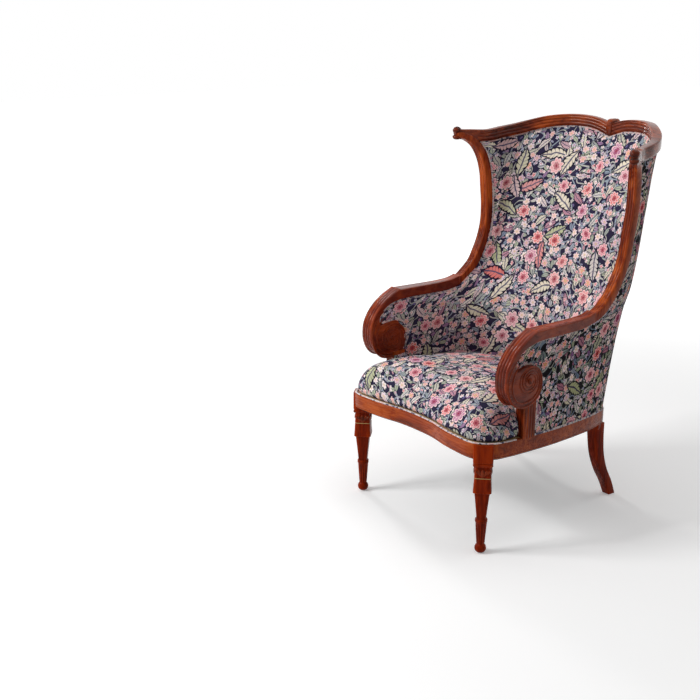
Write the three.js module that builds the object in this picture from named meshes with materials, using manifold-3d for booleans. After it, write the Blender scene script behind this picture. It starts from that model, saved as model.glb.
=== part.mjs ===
import * as THREE from 'three';
import { mergeVertices } from 'three/addons/utils/BufferGeometryUtils.js';
import Module from 'manifold-3d';

// Fireside wing chair with show-wood arms. Millimetres, +Z up, the sitter faces -Y.
// "right" is the +X side. Each side piece is made for +X and mirrored.

// Driving dimensions
const seatHalfWidth = 317;
const seatFront = -352;
const seatDepth = 642;
const railTop = 341;
const railHeight = 44;
const railThickness = 26;
const railEdge = 2;
const railRakeShare = 0.065;
const armHeight = 634;
const armSetIn = 14;
const armHalfSpan = seatHalfWidth - armSetIn;
const wingRise = 481;
const stileReach = 226;
const earOverhang = 51;
const earHalfSpan = seatHalfWidth + earOverhang;
const earShare = 0.637;
const earY = earShare * stileReach;
const crestDrop = 7;
const crestLow = armHeight + wingRise - crestDrop;
const crestRun = 332;
const crestBack = earY + crestRun;
const crestSwell = 50;
const clearance = 0.3;
const overrun = 6;

// Seat plan along the outer face of the rails, from the front centre round to the back centre
const frontPlanShares = [[0, 0.042], [0.23, 0.036], [0.438, 0.014], [0.64, 0.002], [0.795, 0], [0.871, 0.011]];
const cornerPlanShares = [[0.931, 0.04], [0.981, 0.084]];
const sidePlanShares = [[0.994, 0.14], [0.984, 0.274], [0.946, 0.484], [0.909, 0.604], [0.852, 0.762], [0.795, 0.86]];
const backPlanShares = [[0.729, 0.938], [0.65, 0.944], [0.347, 0.983], [0, 1]];

const frontLegInset = { side: 39, front: 42, blockHeight: 65, lineDrop: 108, carvedHeight: 150 };
const frontLeg = { x: seatHalfWidth - frontLegInset.side, y: seatFront + frontLegInset.front, blockSide: 54,
  blockBottom: railTop - frontLegInset.blockHeight, carvedSide: 51, carvedBottom: railTop - frontLegInset.carvedHeight,
  lineHeight: railTop - frontLegInset.lineDrop, lineDepth: 1.5, shaftSide: 44, ankleSide: 28, collarTop: 106, collarBottom: 95,
  collarRadius: 18, reedTopRadius: 16.5, reedBottomRadius: 12, reedDepth: 1.5, ballTop: 27, ballRadius: 17.3,
  flare: 6, ledge: 3 };
const blockCornerShare = 0.94;
const ballShares = [0.14, 0.32, 0.5, 0.72];
const rearLegPlaceShares = [0.70032, 0.90498];
const rearLegPlan = { postInX: 6, postInY: 5, footReach: 84, blockHeight: 85 };
const rearLegX = seatHalfWidth * rearLegPlaceShares[0];
const rearLegY = seatFront + seatDepth * rearLegPlaceShares[1];
const rearLeg = { x: rearLegX, y: rearLegY, topSide: 40, footSide: 30, footY: rearLegY + rearLegPlan.footReach, edge: 3,
  postX: rearLegX - rearLegPlan.postInX, postY: rearLegY - rearLegPlan.postInY, postSide: 22, postTopSide: 8,
  postSetBack: 1.5, blockBottom: railTop - rearLegPlan.blockHeight, flare: 14, inset: 1 };
const rearBlockShares = { side: 0.76, back: 1.02 };
const sabreShares = [[0, 1], [0.19, 0.75], [0.42, 0.37], [0.66, 0.12], [0.87, 0.03], [1, 0]];
const tenon = { thickness: 10, height: 26, length: 15, outwards: 11 };

const scrollBack = 159;
const scrollHeightShare = 0.5495;
const scrollRadiusShare = 0.256;
const armRise = armHeight - railTop;
const scroll = { y: seatFront + scrollBack, z: railTop + scrollHeightShare * armRise,
  radius: scrollRadiusShare * armRise, halfWidth: 24 };
const scrollOuterShares = [[-0.227, 1.68], [-0.76, 1.227], [-1.067, 0.733], [-1.147, 0.28], [-1.08, -0.213],
  [-0.787, -0.613], [-0.387, -0.84], [0.04, -0.88], [0.44, -0.747], [0.667, -0.453], [0.773, -0.027],
  [0.667, 0.347], [0.4, 0.613], [0, 0.68], [-0.36, 0.613]];
const scrollInnerShares = [[-0.627, 0.547], [-0.667, 0.8], [-0.573, 1.04], [-0.28, 1.32], [0.387, 1.533]];
const arm = { thickness: 31, rearHalfWidth: 17, edge: 5, softEdge: 1.4, softShare: 0.12, groove: 2,
  stepBack: 31, stepLength: 2, stepRise: 3, endRise: 11.5, bendRun: 32, bendRise: 3.5, midRun: 81 };
const grooveShares = [-0.3, 0.3];
const grooveWidthShare = 0.08;
const postPlace = { ahead: -3, behind: 52, outwards: 10, inwards: 28.5, topShare: 0.76 };
const dowelShares = [1.027, 0.587];
const post = { front: scroll.y - postPlace.ahead, back: scroll.y + postPlace.behind,
  inner: armHalfSpan - postPlace.inwards, outer: armHalfSpan + postPlace.outwards, edge: 5, lap: 12, dowelRadius: 5 };
const stile = { width: 32, depth: 28, edge: 4, groove: 1.6, tenonSide: 12 };
const stileFootShare = 0.059;
const stileShares = [[-0.17, 0.323, 0.006], [-0.154, 0.442, 0.021], [-0.123, 0.553, 0.052], [-0.138, 0.717, 0.12],
  [-0.123, 0.827, 0.202], [-0.108, 0.912, 0.286], [-0.092, 0.973, 0.387], [-0.046, 0.996, 0.507], [0.062, 1, 0.627],
  [0.138, 0.987, 0.746], [0.277, 0.934, 0.857], [0.523, 0.823, 0.944],
  [1, earShare, 1]];
const crest = { height: 36, depth: 29, edge: 5, groove: 1.6, postShare: 0.5 };
const crestShares = [[0, 1, 0.52], [0.152, 0.991, 0.88], [0.304, 0.964, 1], [0.467, 0.909, 0.96], [0.594, 0.803, 0.82],
  [0.71, 0.684, 0.54], [0.779, 0.569, 0.32], [0.826, 0.431, 0.16], [0.861, 0.25, 0], [0.94, 0.114, 0.06],
  [1, 0, 0.14]];
const steps = { stile: 17, crest: 18, frontRail: 20, sideRail: 10, backRail: 8, welt: 32, stringer: 6, spring: 7,
  scroll: 24, wallRows: 18, sidePad: 9, backPad: 10, cover: 6, wallBase: 10, seatHalf: 22, sheet: 24 };
const sides = { leg: 12, spring: 4, screw: 10, welt: 6 };
const wingEnd = { size: 0.74, from: 0.8 };
const knuckle = { halfWidth: 15, height: 56, depth: 44, lift: 9, setBack: 4, edge: 7 };
const knuckleShares = [[-0.5, 0.72], [-0.36, 1], [0.36, 1], [0.5, 0.72]];
const ear = { x: earHalfSpan, y: earY, z: armHeight + wingRise, halfHeight: 21, radius: 14.5 };
const earShares = [[-1, 0.45], [-0.86, 0.9], [-0.5, 1], [-0.24, 0.72], [0, 0.78], [0.3, 1], [0.62, 0.97],
  [0.88, 0.62]];

// Foot line of the inside padding on the seat, from the back centre to behind the arm post
const insideBaseShares = [[0, 0.805], [0.19, 0.802], [0.363, 0.787], [0.505, 0.759], [0.625, 0.717], [0.7, 0.66],
  [0.757, 0.595], [0.795, 0.525], [0.826, 0.447], [0.852, 0.369], [0.868, 0.291]];
const insideCentreShares = [[0, 0], [0.03, 0.1], [0.1, 0.22], [0.22, 0.38], [0.42, 0.58], [0.68, 0.79], [1, 1]];
const wall = { armInset: 6, armDepth: 9, stileTuck: 8, stileSink: 6, crestTuck: 7, inFace: 4, outFace: 8, cloth: 2,
  foot: 4, roomShare: 0.55 };
const insideFadePowers = [3, 2, 1.4];
const outsideFadePowers = [5, 5, 1.4];
const hookShares = [[0.44, -2.28], [0.44, -0.96], [0.28, -0.093], [-0.293, 0.507], [-0.867, 0.853], [-0.52, 1.267],
  [0.04, 1.54], [1.773, 1.57], [3.373, 1.6]];
const stileTuckShares = [0.25, 0.417, 0.583, 0.708, 0.833, 0.917, 1];
const pad = { side: 13, centre: 34 };
const seamShare = 0.42;
const seamGapShare = 0.0005;

const seat = { crown: 122, inset: 9.5, weltRadius: 3.2, weltInset: 3.6 };
const weltEndShare = 0.5047;
const seatRingShares = [[1, 0], [1, 0.06], [1.006, 0.16], [0.994, 0.32], [0.956, 0.52], [0.902, 0.68], [0.81, 0.81],
  [0.67, 0.91], [0.44, 0.975], [0.2, 1]];
const seatSideShares = [[0.958, 0.2], [0.945, 0.252], [0.89, 0.285], [0.868, 0.369], [0.842, 0.447], [0.811, 0.525],
  [0.773, 0.595], [0.716, 0.664], [0.638, 0.722], [0.512, 0.764], [0.365, 0.793], [0.19, 0.808], [0, 0.811]];
const seatCentreShare = 0.45;
const spring = { wire: 1.9, endRadius: 34, waistRadius: 23, pitchX: 128, pitchY: 118, fromFront: 282, };
const springTurns = 3;
const springPlaces = [-1, 0, 1];
const springRowY = (row) => seatFront + spring.fromFront + row * spring.pitchY;
const webbing = { width: 48, thickness: 2, inset: 6 };
const hessian = { thickness: 1.5, inset: 12 };
const dustCover = { thickness: 1.2, inset: 5 };
const stringer = { thickness: 10, height: 34, inset: 17 };
const stringerEndShares = [0.5235, 0.7294];
const blockPlace = { pastFrontLegX: 23, pastLegY: 28 };
const cornerBlock = { frontX: frontLeg.x + blockPlace.pastFrontLegX, frontY: frontLeg.y - blockPlace.pastLegY,
  rearX: rearLeg.x + blockPlace.pastLegY, rearY: rearLeg.y + blockPlace.pastLegY, reach: 124, height: 30 };
const screw = { headRadius: 4.5, headHeight: 3, radius: 2.2, length: 44 };

const mahogany = new THREE.MeshStandardMaterial({ color: 0x7c2c14, roughness: 0.28, metalness: 0 });
const beech = new THREE.MeshStandardMaterial({ color: 0xc09a6a, roughness: 0.7, metalness: 0 });
const print = new THREE.MeshStandardMaterial({ color: 0x6b6480, roughness: 0.9, metalness: 0 });
const jute = new THREE.MeshStandardMaterial({ color: 0xb49a6c, roughness: 0.95, metalness: 0 });
const cambric = new THREE.MeshStandardMaterial({ color: 0x202022, roughness: 0.95, metalness: 0 });
const steel = new THREE.MeshStandardMaterial({ color: 0x9a8f7c, roughness: 0.4, metalness: 0.9 });

const wasm = await Module();
wasm.setup();
const lerp = THREE.MathUtils.lerp;
const vec = (x, y, z) => new THREE.Vector3(x, y, z);
const upward = vec(0, 0, 1);

// Solids from rings, grids and boxes

function closedBody(points, faces) {
  let volume = 0;
  for (const [a, b, c] of faces) volume += points[a].dot(points[b].clone().cross(points[c]));
  const turned = volume < 0 ? faces.map(([a, b, c]) => [a, c, b]) : faces;
  const mesh = new wasm.Mesh({
    numProp: 3,
    vertProperties: new Float32Array(points.flatMap((p) => p.toArray())),
    triVerts: new Uint32Array(turned.flat()),
  });
  return new wasm.Manifold(mesh);
}

function capFaces(ring, start) {
  const normal = vec(0, 0, 0);
  ring.forEach((p, i) => normal.add(p.clone().cross(ring[(i + 1) % ring.length])));
  normal.normalize();
  const u = ring[1].clone().sub(ring[0]).normalize();
  const v = normal.clone().cross(u);
  const flat = ring.map((p) => new THREE.Vector2(p.dot(u), p.dot(v)));
  const area = (a, b, c) => b.clone().sub(a).cross(c.clone().sub(a));
  return THREE.ShapeUtils.triangulateShape(flat, []).map(([a, b, c]) => {
    const forward = area(flat[a], flat[b], flat[c]) > 0;
    return (forward ? [a, b, c] : [a, c, b]).map((k) => k + start);
  });
}

function loft(rings) {
  const count = rings[0].length;
  const faces = capFaces(rings[0], 0).map(([a, b, c]) => [a, c, b]);
  for (let i = 0; i < rings.length - 1; i++) {
    for (let j = 0; j < count; j++) {
      const k = (j + 1) % count;
      const [low, high] = [i * count, (i + 1) * count];
      faces.push([low + j, low + k, high + k], [low + j, high + k, high + j]);
    }
  }
  faces.push(...capFaces(rings[rings.length - 1], (rings.length - 1) * count));
  return closedBody(rings.flat(), faces);
}

// A body with a front and a back grid of points, closed round its edges
function slab(front, back) {
  const rows = front.length;
  const columns = front[0].length;
  const at = (layer, i, j) => layer * rows * columns + i * columns + j;
  const faces = [];
  for (let i = 0; i < rows - 1; i++) {
    for (let j = 0; j < columns - 1; j++) {
      const [p, q] = [i + 1, j + 1];
      faces.push([at(0, i, j), at(0, p, j), at(0, p, q)], [at(0, i, j), at(0, p, q), at(0, i, q)]);
      faces.push([at(1, i, j), at(1, p, q), at(1, p, j)], [at(1, i, j), at(1, i, q), at(1, p, q)]);
    }
  }
  const rim = [];
  for (let j = 0; j < columns - 1; j++) rim.push([0, j]);
  for (let i = 0; i < rows - 1; i++) rim.push([i, columns - 1]);
  for (let j = columns - 1; j > 0; j--) rim.push([rows - 1, j]);
  for (let i = rows - 1; i > 0; i--) rim.push([i, 0]);
  rim.forEach(([i, j], n) => {
    const [p, q] = rim[(n + 1) % rim.length];
    const rising = p > i || q > j;
    const [low, high] = rising ? [[i, j], [p, q]] : [[p, q], [i, j]];
    const pair = [[at(0, ...low), at(0, ...high), at(1, ...high)], [at(0, ...low), at(1, ...high), at(1, ...low)]];
    faces.push(...pair.map(([a, b, c]) => (rising ? [a, b, c] : [a, c, b])));
  });
  return closedBody([...front.flat(), ...back.flat()], faces);
}

function fromGeometry(geometry) {
  const plain = geometry.clone();
  plain.deleteAttribute('normal');
  plain.deleteAttribute('uv');
  const merged = mergeVertices(plain);
  const vertProperties = new Float32Array(merged.attributes.position.array);
  return new wasm.Manifold(new wasm.Mesh({ numProp: 3, vertProperties, triVerts: new Uint32Array(merged.index.array) }));
}

const box = (centre, size) => fromGeometry(new THREE.BoxGeometry(...size).translate(...centre.toArray()));
const uprightRod = (centre, radius, length, count) => fromGeometry(
  new THREE.CylinderGeometry(radius, radius, length, count).rotateX(Math.PI / 2).translate(...centre.toArray()));
const largest = (solid) => solid.decompose().sort((a, b) => b.volume() - a.volume())[0];

// Chamfered bar section, as [across, out] places; grooves are cut in the +out face
function barShape(width, depth, edge, groove = 0) {
  const [w, d] = [width / 2, depth / 2];
  const shape = [[-w, -d + edge], [-w + edge, -d], [w - edge, -d], [w, -d + edge], [w, d - edge], [w - edge, d]];
  if (groove) {
    for (const middle of [w / 3, -w / 3]) {
      shape.push([middle + groove, d], [middle, d - groove], [middle - groove, d]);
    }
  }
  return [...shape, [-w + edge, d], [-w, d - edge]];
}

function frameAt(curve, t, hint) {
  const centre = curve.getPoint(t);
  const along = curve.getTangent(t);
  const across = hint.clone().addScaledVector(along, -hint.dot(along)).normalize();
  return { centre, across, out: along.clone().cross(across) };
}

const offsetFrom = ({ centre, across, out }, a, o) => centre.clone().addScaledVector(across, a).addScaledVector(out, o);

function sweep(curve, count, shape, hint, sizeAt = () => 1) {
  const rings = [];
  for (let i = 0; i <= count; i++) {
    const frame = frameAt(curve, i / count, hint);
    const size = sizeAt(i / count);
    rings.push(shape.map(([a, o]) => offsetFrom(frame, a * size, o * size)));
  }
  return loft(rings);
}

const curveThrough = (points) => new THREE.CatmullRomCurve3(points, false, 'centripetal');
const gridOf = (rows, columns, place) => Array.from({ length: rows + 1 }, (_, i) =>
  Array.from({ length: columns + 1 }, (_unused, j) => place(j / columns, i / rows)));

// Seat plan and seat rails

const rakeDrop = (y) => railRakeShare * (y - frontLeg.y);
const railTopAt = (y) => railTop - rakeDrop(y);
const raked = (p, z) => vec(p.x, p.y, z - rakeDrop(p.y));
const rakedUp = vec(0, railRakeShare, 1).normalize();
const seatPlace = ([x, y]) => vec(x * seatHalfWidth, seatFront + y * seatDepth, 0);
const acrossX = (p) => vec(-p.x, p.y, p.z);
const bothSides = (points) => [...points.slice(1).reverse().map(acrossX), ...points];
const mirrored = (solid) => solid.mirror([1, 0, 0]);
const cut = (solid, ...cutters) => largest(cutters.reduce((left, cutter) => left.subtract(cutter), solid));

const planPoints = [...frontPlanShares, ...cornerPlanShares, ...sidePlanShares, ...backPlanShares].map(seatPlace);
const planSteps = planPoints.length - 1;
const planCurve = curveThrough([acrossX(planPoints[1]), ...planPoints, acrossX(planPoints[planSteps - 1])]);
const cornerIndex = frontPlanShares.length;
const backIndex = cornerIndex + cornerPlanShares.length + sidePlanShares.length;
// The rear leg's outer faces follow the plan between these two places
const rearCorner = { from: backIndex - rearBlockShares.side, to: backIndex + rearBlockShares.back };

// A place on the seat plan: index counts the plan's points from the front centre, inset is towards the inside
function planAt(index, inset, z) {
  const t = (index + 1) / (planSteps + 2);
  const p = planCurve.getPoint(t);
  const along = planCurve.getTangent(t);
  return raked(vec(p.x - along.y * inset, p.y + along.x * inset, 0), z);
}

const planRun = (from, to, inset, z, parts) =>
  Array.from({ length: parts + 1 }, (_, i) => planAt(lerp(from, to, i / parts), inset, z));

const railMiddle = railTop - railHeight / 2;

function railBody(points, count, grow) {
  return sweep(curveThrough(points), count, barShape(railHeight + 2 * grow, railThickness + 2 * grow, railEdge), rakedUp);
}

const frontRailBody = (grow = 0) => railBody(
  bothSides(planRun(0, cornerIndex, railThickness / 2, railMiddle, cornerIndex)), steps.frontRail, grow);
const sideRailBody = (grow = 0) => railBody(
  planRun(cornerIndex, backIndex, railThickness / 2, railMiddle, backIndex - cornerIndex), steps.sideRail, grow);
const backRailBody = (grow = 0) => railBody(
  bothSides(planRun(planSteps, backIndex, railThickness / 2, railMiddle, planSteps - backIndex)),
  steps.backRail, grow);

// A raked sheet over the whole seat plan
function seatSheet(inset, low, high) {
  return loft([low, high].map((z) => bothSides(planRun(0, planSteps, inset, z, steps.sheet)).slice(1)));
}

// Legs

function frontLegBody(grow = 0) {
  const L = frontLeg;
  const [round, square] = [0, 1];
  const ball = (share) => [L.ballTop * share, 2 * L.ballRadius * Math.sqrt(share * (1 - share)), round];
  const stations = [
    [0, L.ballRadius / 2, round], ...ballShares.map(ball),
    [L.ballTop, L.reedBottomRadius, round],
    [L.ballTop + L.ledge, L.reedBottomRadius, round, L.reedDepth],
    [L.collarBottom - L.ledge, L.reedTopRadius, round, L.reedDepth],
    [L.collarBottom, L.collarRadius, round], [L.collarTop, L.collarRadius, round],
    [L.collarTop + L.ledge, L.ankleSide / 2, square],
    [L.carvedBottom, L.shaftSide / 2, square],
    [L.carvedBottom + L.ledge, L.carvedSide / 2, square],
    [L.lineHeight - L.lineDepth, L.carvedSide / 2, square],
    [L.lineHeight, L.carvedSide / 2 - L.lineDepth, square],
    [L.lineHeight + L.lineDepth, L.carvedSide / 2, square],
    [L.blockBottom - L.flare, L.carvedSide / 2, square],
    [L.blockBottom, L.blockSide / 2, square],
    [railTop, L.blockSide / 2, square],
  ];
  return loft(stations.map(([z, radius, squareness, reed = 0]) => Array.from({ length: sides.leg }, (_, i) => {
    const angle = (i / sides.leg) * 2 * Math.PI;
    const toFace = Math.abs((angle % (Math.PI / 2)) - Math.PI / 4);
    const flat = Math.min(1 / Math.cos(toFace), blockCornerShare / Math.cos(Math.PI / 4));
    const size = (radius + grow) * lerp(1, flat, squareness) - (i % 2 ? reed : 0);
    const place = vec(L.x + size * Math.cos(angle), L.y + size * Math.sin(angle), z);
    return z < railTop ? place : raked(place, z + grow);
  })));
}

const crestCurve = curveThrough(crestShares.map(([x, y, z]) =>
  vec(x * earHalfSpan, lerp(earY, crestBack, y), crestLow + z * crestSwell)));
const stileCurve = curveThrough(stileShares.map(([x, y, z]) =>
  vec(lerp(armHalfSpan, earHalfSpan, x), y * stileReach, armHeight + z * wingRise)));
const inwards = vec(-1, 0, 0);

// Sabre leg with a block that fills the rounded rear corner; a post goes on up from it inside the padding
function rearLegBody(grow = 0) {
  const L = rearLeg;
  const square = (x, y, z, side) => {
    const h = side / 2 + grow;
    const e = h - Math.min(L.edge, h / 2);
    return [[h, -e], [h, 0], [h, e], [e, h], [0, h], [-e, h], [-h, e], [-h, -e], [-e, -h], [e, -h]]
      .map(([a, o]) => vec(x + a, y + o, z));
  };
  const h = L.topSide / 2 + grow;
  const corner = (z) => {
    const outer = planRun(rearCorner.from, rearCorner.to, L.inset - grow, 0, 5);
    const [first, last] = [outer[0], outer[outer.length - 1]];
    return [...outer, vec(L.x - h, last.y - L.edge, 0), vec(L.x - h, L.y - h + L.edge, 0),
      vec(L.x - h + L.edge, L.y - h, 0), vec(first.x - L.edge, L.y - h, 0)].map((p) => vec(p.x, p.y, z));
  };
  const rings = sabreShares.map(([rise, sweepBack]) => square(L.x, lerp(L.y, L.footY, sweepBack),
    (L.blockBottom - L.flare) * rise, lerp(L.footSide, L.topSide, rise)));
  const top = offsetFrom(frameAt(crestCurve, crest.postShare, upward), 0, -L.postSetBack);
  const blockTop = railTopAt(L.y + h) - clearance;
  rings.push(corner(L.blockBottom), corner(blockTop));
  rings.push(square(L.postX, L.postY, blockTop, L.postSide), square(top.x, top.y, top.z, L.postTopSide));
  return loft(rings);
}

// Arm with its scroll: one side outline, stacked across the arm's width

const armRear = stileCurve.getPoint(stileFootShare);
const armBend = armRear.y - arm.bendRun;
const armMid = armRear.y - arm.midRun;
const armStep = scroll.y + arm.stepBack;

function armOutline() {
  const place = ([y, z]) => [scroll.y + y * scroll.radius, scroll.z + z * scroll.radius];
  const top = armHeight + arm.thickness / 2;
  const under = armHeight - arm.thickness / 2;
  const outer = curveThrough([[armStep, top + arm.stepRise], ...scrollOuterShares.map(place)]
    .map(([y, z]) => vec(0, y, z))).getPoints(steps.scroll).map((p) => [p.y, p.z]);
  return [[armRear.y, top + arm.endRise], [armBend, top + arm.bendRise], [armMid, top],
    [armStep + arm.stepLength, top], ...outer, ...scrollInnerShares.map(place), [armMid, under],
    [armBend, under + arm.bendRise], [armRear.y, under + arm.endRise]];
}

const armShare = (y) => Math.max(0, y - scroll.y) / (armRear.y - scroll.y);
const armCentreX = (y) => lerp(armHalfSpan, armRear.x, armShare(y));
const armHalfWidth = (y) => lerp(scroll.halfWidth, arm.rearHalfWidth, armShare(y));

function armBody(grow = 0) {
  const outline = armOutline();
  const count = outline.length;
  const normals = outline.map((_, i) => {
    const [before, after] = [outline[(i + count - 1) % count], outline[(i + 1) % count]];
    const along = new THREE.Vector2(after[0] - before[0], after[1] - before[1]).normalize();
    return [along.y, -along.x];
  });
  const grooves = grooveShares.flatMap((middle) =>
    [[middle - grooveWidthShare, 0], [middle, arm.groove], [middle + grooveWidthShare, 0]]);
  const stations = [[-1, arm.edge], [arm.softShare - 1, arm.softEdge], ...grooves,
    [1 - arm.softShare, arm.softEdge], [1, arm.edge]];
  return loft(stations.map(([across, inset]) => outline.map(([y, z], i) => {
    const [p, q] = [y + normals[i][0] * (grow - inset), z + normals[i][1] * (grow - inset)];
    return vec(armCentreX(y) + across * (armHalfWidth(y) + grow), p, q);
  })));
}

const postMiddle = vec((post.inner + post.outer) / 2, (post.front + post.back) / 2, scroll.z);

function postBody(grow = 0) {
  const shape = barShape(post.outer - post.inner + 2 * grow, post.back - post.front + 2 * grow, post.edge);
  const low = railTopAt(post.back) - post.lap - grow;
  const high = scroll.z - postPlace.topShare * scroll.radius + grow;
  return loft([low, high].map((z) => shape.map(([a, o]) => vec(postMiddle.x + a, postMiddle.y + o, z))));
}

function dowelBody(grow = 0) {
  const [low, high] = dowelShares.map((share) => scroll.z - share * scroll.radius);
  return uprightRod(postMiddle.clone().setZ((low + high) / 2), post.dowelRadius + grow, high - low + 2 * grow,
    sides.screw);
}

const stileTenonBody = (grow = 0) => box(
  armRear.clone(),
  [stile.tenonSide + 2 * grow, 2 * (tenon.length + grow), stile.tenonSide + 2 * grow]);

function earBody(grow = 0) {
  const E = ear;
  const [low, high] = [-E.halfHeight - grow, E.halfHeight + grow];
  const profile = [[0, low], ...earShares.map(([rise, size]) =>
    [E.radius * size + grow, rise * (E.halfHeight + grow)]), [0, high]];
  const points = profile.map(([r, h]) => new THREE.Vector2(r, h));
  return fromGeometry(new THREE.LatheGeometry(points, sides.leg).rotateX(Math.PI / 2).translate(E.x, E.y, E.z));
}

function knuckleBody(grow = 0) {
  const K = knuckle;
  const centre = crestCurve.getPoint(0);
  const shape = barShape(2 * (K.halfWidth + grow), K.height + 2 * grow, K.edge);
  return loft(knuckleShares.map(([along, size]) => shape.map(([a, o]) =>
    vec(a * size, centre.y + K.setBack + along * (K.depth + 2 * grow), centre.z + K.lift + o * size))));
}

const crestShape = (grow) => barShape(crest.height + 2 * grow, crest.depth + 2 * grow, crest.edge, crest.groove);
const stileShape = (grow) => barShape(stile.width + 2 * grow, stile.depth + 2 * grow, stile.edge, stile.groove);
const narrowing = (t) => lerp(1, wingEnd.size, THREE.MathUtils.smoothstep(t, wingEnd.from, 1));
const crestBody = (grow = 0) => sweep(crestCurve, steps.crest, crestShape(grow), upward, narrowing);
const stileBody = (grow = 0) => sweep(stileCurve, steps.stile, stileShape(grow), inwards, narrowing);

// The padded walls: an inside and an outside skin between the seat frame and the show-wood.
// u runs from the back's centre line to the arm's front, v from the seat frame up to the crest.

function patch(base, top, centre, reach, powers) {
  const straight = (curve, t) => curve.getPoint(0).lerp(curve.getPoint(1), t);
  return (u, v) => {
    const p = base.getPoint(u).lerp(top.getPoint(u), v);
    const back = centre.getPoint(v).sub(straight(centre, v));
    const front = reach.getPoint(v).sub(straight(reach, v));
    const forward = powers.map((power, axis) => front.getComponent(axis) * u ** power);
    return p.addScaledVector(back, 1 - u).add(vec(...forward));
  };
}

// The skin's front edge: up the arm post, round inside the scroll, back under the arm and up the stile
function reachCurve(first, last, x, across) {
  const hook = hookShares.map(([y, z]) => {
    const place = vec(x, scroll.y + y * scroll.radius, scroll.z + z * scroll.radius);
    place.x = armCentreX(place.y) + (x - armHalfSpan) * (armHalfWidth(place.y) / scroll.halfWidth);
    return place;
  });
  const upper = stileTuckShares.map((t) => offsetFrom(frameAt(stileCurve, t, inwards), across, -wall.stileSink));
  return curveThrough([first, ...hook.slice(1), ...upper.slice(0, -1), last]);
}

const crestEdge = (out) => curveThrough(crestShares.map((_, i) => {
  const place = offsetFrom(frameAt(crestCurve, i / (crestShares.length - 1), upward), 0, out);
  return place.setZ(place.z - crest.height / 2 + wall.crestTuck);
}));

const centreCurve = (shares, low, high) => curveThrough(shares.map(([y, z]) =>
  vec(0, lerp(low.y, high.y, y), lerp(low.z, high.z, z))));

const padFoot = railTop + hessian.thickness + 2 * clearance;
const insideTop = crestEdge(wall.inFace);
const insideBase = insideBaseShares.map((place) => raked(seatPlace(place), padFoot));
const insideAt = patch(curveThrough(insideBase), insideTop,
  centreCurve(insideCentreShares, insideBase[0], insideTop.getPoint(0)),
  reachCurve(insideBase[insideBase.length - 1], insideTop.getPoint(1),
    armHalfSpan - scroll.halfWidth + wall.armInset, wall.stileTuck), insideFadePowers);

const outsideTop = crestEdge(-wall.outFace);
const postIndex = cornerIndex + cornerPlanShares.length + 1;
const outsideBase = Array.from({ length: steps.wallBase + 1 }, (_, i) => {
  const u = 2 * (i / steps.wallBase);
  const index = u < 1 ? lerp(planSteps, backIndex, u) : lerp(backIndex, postIndex, u - 1);
  return planAt(index, wall.foot, railTop + clearance);
});
const outsideAt = patch(curveThrough(outsideBase), outsideTop,
  centreCurve(insideCentreShares.map(([, z]) => [z, z]), outsideBase[0], outsideTop.getPoint(0)),
  reachCurve(outsideBase[steps.wallBase], outsideTop.getPoint(1),
    armHalfSpan + scroll.halfWidth - wall.armInset - wall.armDepth, -wall.stileTuck), outsideFadePowers);

// A sheet between two depths behind one skin; depths are measured towards the other skin
function wallSlab(from, to, parts, skin, other, nearDepth, farDepth) {
  const layer = (depthAt) => gridOf(steps.wallRows, parts, (s, v) => {
    const u = lerp(from, to, s);
    const near = skin(Math.abs(u), v);
    const far = other(Math.abs(u), v);
    const place = near.clone().lerp(far, Math.min(depthAt(Math.abs(u)) / near.distanceTo(far), wall.roomShare));
    return u < 0 ? acrossX(place) : place;
  });
  return slab(layer(nearDepth), layer(farDepth));
}

const padDepth = (u) => lerp(pad.centre, pad.side, THREE.MathUtils.smoothstep(u, 0, seamShare));
const padBody = (from, to, parts, grow) =>
  wallSlab(from, to, parts, insideAt, outsideAt, () => -grow, padDepth)
    .trimByPlane(rakedUp.toArray(), rakedUp.dot(raked(vec(0, 0, 0), padFoot - grow)));
const coverBody = (from, to, parts) => wallSlab(from, to, parts, outsideAt, insideAt, () => 0, () => wall.cloth);
const backPadBody = (grow) => padBody(seamGapShare - seamShare, seamShare - seamGapShare, steps.backPad, grow);
const sidePadBody = (grow) => padBody(seamShare + seamGapShare, 1, steps.sidePad, grow);

// Seat

function seatPadBody() {
  const corner = planRun(0, cornerIndex + 2, seat.inset, 0, cornerIndex + 2);
  const outline = curveThrough([...corner, ...seatSideShares.map(seatPlace)].map((p) => vec(p.x, p.y, 0)))
    .getPoints(steps.seatHalf);
  const ring = bothSides(outline).slice(1);
  const centre = seatPlace([0, seatCentreShare]).setZ(0);
  return loft(seatRingShares.map(([size, rise]) => ring.map((p) =>
    raked(centre.clone().lerp(p, size), padFoot + rise * seat.crown))));
}

const roundShape = (radius, count) => Array.from({ length: count }, (_, i) =>
  [radius * Math.cos((i / count) * 2 * Math.PI), radius * Math.sin((i / count) * 2 * Math.PI)]);

function springBody(x, y) {
  const low = railTop - railHeight + spring.wire;
  const high = railTop - spring.wire;
  const count = springTurns * steps.spring;
  const points = Array.from({ length: count + 1 }, (_, i) => {
    const t = i / count;
    const radius = lerp(spring.waistRadius, spring.endRadius, Math.abs(2 * t - 1));
    const angle = t * springTurns * 2 * Math.PI;
    return raked(vec(x + radius * Math.cos(angle), y + radius * Math.sin(angle), 0), lerp(low, high, t));
  });
  return sweep(curveThrough(points), count, roundShape(spring.wire, sides.spring), upward);
}

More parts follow.
